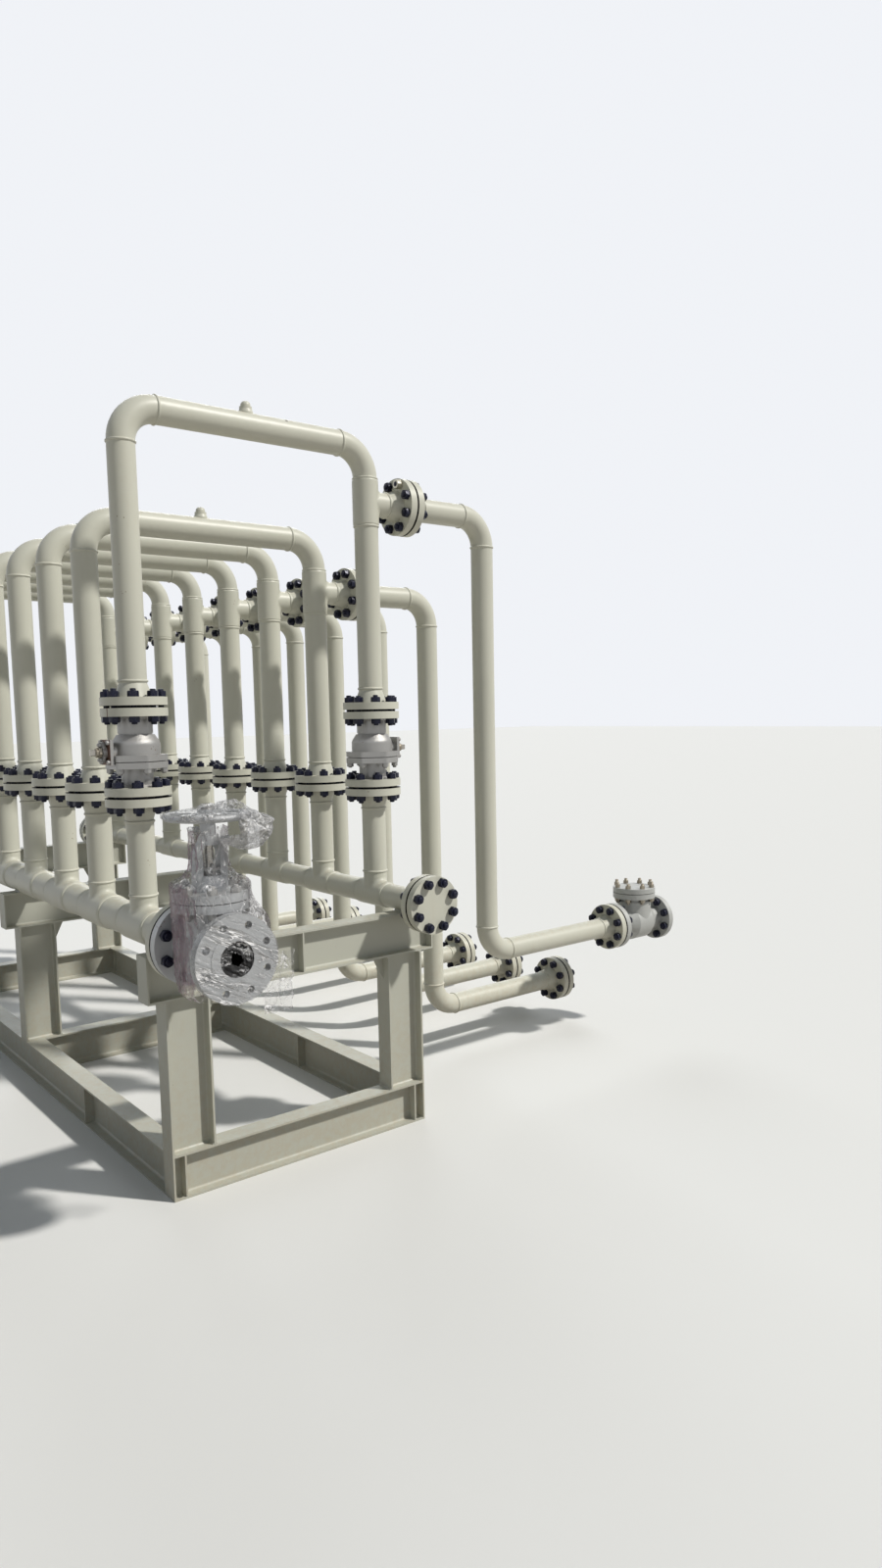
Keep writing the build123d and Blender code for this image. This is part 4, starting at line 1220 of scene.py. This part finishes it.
        def flap(turn, run):
            level = -0.004 - 0.176 * run
            start = math.sqrt(max(0.1288 ** 2 - level ** 2, 0.088 ** 2))
            end = 0.196 - 0.014 * run + 0.006 * noise.noise(Vector((run * 6, 1, 2)))
            reach = start + (end - start) * turn
            flat = Vector((reach, 0, level + 0.008 * noise.noise(Vector((turn * 5, 3, run)))))
            wave = 0.008 * math.sin(turn * 7 + run * 2) * turn + 0.006 * crease(flat * 32)
            return outlet + flat + BACK * (0.016 + wave)

        for name, shape, material, columns, rows, closed, hole, body, facts in (
                ("body_film", body_wrap, drawn, 150, 120, True, neck_hole, BODY,
                 dict(flat=(0.5, 0.75), held="stretched", rests_on=["gate_valve_body", "gate_valve_bonnet"])),
                ("outlet_film", face_cover, streaky, 160, 56, True, None, BODY,
                 dict(flat=(0.3, 0.3), held="stretched", rests_on=["gate_valve_body"])),
                ("outlet_flap", flap, plain, 30, 44, False, None, BODY,
                 dict(flat=(0.11, 0.2), held="hung", rests_on=["outlet_film"])),
                ("wheel_film", wheel_cover, plain, 140, 50, True, None, "gate_handwheel",
                 dict(flat=(0.3, 0.3), held="stretched", rests_on=["gate_valve_handwheel"])),
                ("wheel_pouch", pouch, bunched, 96, 60, True, pouch_mouth, "gate_handwheel",
                 dict(flat=(0.21, 0.24), held="gathered", rests_on=["gate_valve_handwheel"]))):
            source = film_shape(shape, columns, rows, closed, hole)
            piece = finish_piece(name, source, material, body=body, smooth_angle=24)
        return {"FINISHED"}


class MANIFOLD_OT_stage(bpy.types.Operator):
    """Add the floor, the light and the camera"""

    bl_idname = "manifold.stage"
    bl_label = "Stage"

    def execute(self, context):
        scene = context.scene
        source = bmesh.new()
        bmesh.ops.create_grid(source, x_segments=1, y_segments=1, size=60)
        floor = add_object("floor", keep_shape(source, "floor"))
        material, tree, shader = new_material("Floor")
        pale = blend_colour(tree, seen_directly(tree), (0.46, 0.43, 0.39, 1), (0.78, 0.78, 0.77, 1))
        feed(tree, shader, {"Base Color": pale, "Roughness": 0.9})
        floor.data.materials.append(material)

        world = bpy.data.worlds.new("Studio")
        world.use_nodes = True
        tree = world.node_tree
        shown = seen_directly(tree)
        feed(tree, tree.nodes["Background"], {
            "Strength": spread(tree, shown, 0.2, 0.93),
            "Color": blend_colour(tree, shown, (0.84, 0.93, 1.0, 1), (0.94, 0.96, 1.0, 1))})
        scene.world = world
        for name, azimuth, elevation, energy, width, colour in (
                ("key", 38, 47, 3.0, 3, (1.0, 0.972, 0.915)), ("fill", 153, 30, 0.9, 30, (0.92, 0.96, 1.0))):
            light = bpy.data.lights.new(name, "SUN")
            light.energy = energy
            light.angle = math.radians(width)
            light.color = colour
            add_object(name, light).rotation_euler = (math.radians(90 - elevation), 0, math.radians(azimuth))

        camera = add_object("camera", bpy.data.cameras.new("camera"))
        camera.location = (-1.72673, -4.47807, 1.53653)
        camera.rotation_euler = [math.radians(angle) for angle in (83.9912, 1.0735, -39.0616)]
        camera.data.sensor_width = 36
        camera.data.lens = 23.1853
        camera.data.shift_x = -0.005478
        camera.data.shift_y = 0.020667
        scene.camera = camera
        scene.view_settings.view_transform = "Standard"
        return {"FINISHED"}


class MANIFOLD_PT_sidebar(bpy.types.Panel):
    """Sizes, colours and steps of the manifold"""

    bl_label = "Manifold"
    bl_idname = "MANIFOLD_PT_sidebar"
    bl_space_type = "VIEW_3D"
    bl_region_type = "UI"
    bl_category = "Manifold"

    def draw(self, context):
        scene = context.scene
        for group in (scene.manifold_sizes, scene.manifold_film, scene.manifold_colours):
            box = self.layout.box()
            for name in group.__annotations__:
                box.prop(group, name)
        for step in STEPS:
            self.layout.operator(step.bl_idname)


STEPS = (MANIFOLD_OT_finishes, MANIFOLD_OT_bolting, MANIFOLD_OT_valve_trim, MANIFOLD_OT_welds,
         MANIFOLD_OT_skid_welds, MANIFOLD_OT_film, MANIFOLD_OT_stage)
CLASSES = (ManifoldSizes, FilmSettings, ManifoldColours, *STEPS, MANIFOLD_PT_sidebar)


def register():
    """Make the classes and their properties known."""
    for kind in CLASSES:
        bpy.utils.register_class(kind)
    bpy.types.Scene.manifold_sizes = bpy.props.PointerProperty(type=ManifoldSizes)
    bpy.types.Scene.manifold_film = bpy.props.PointerProperty(type=FilmSettings)
    bpy.types.Scene.manifold_colours = bpy.props.PointerProperty(type=ManifoldColours)


def unregister():
    """Take the classes and their properties away."""
    del bpy.types.Scene.manifold_colours
    del bpy.types.Scene.manifold_film
    del bpy.types.Scene.manifold_sizes
    for kind in reversed(CLASSES):
        bpy.utils.unregister_class(kind)


def main():
    """Build every piece in order."""
    register()
    for step in STEPS:
        area, name = step.bl_idname.split(".")
        getattr(getattr(bpy.ops, area), name)()


if __name__ == "__main__":
    main()
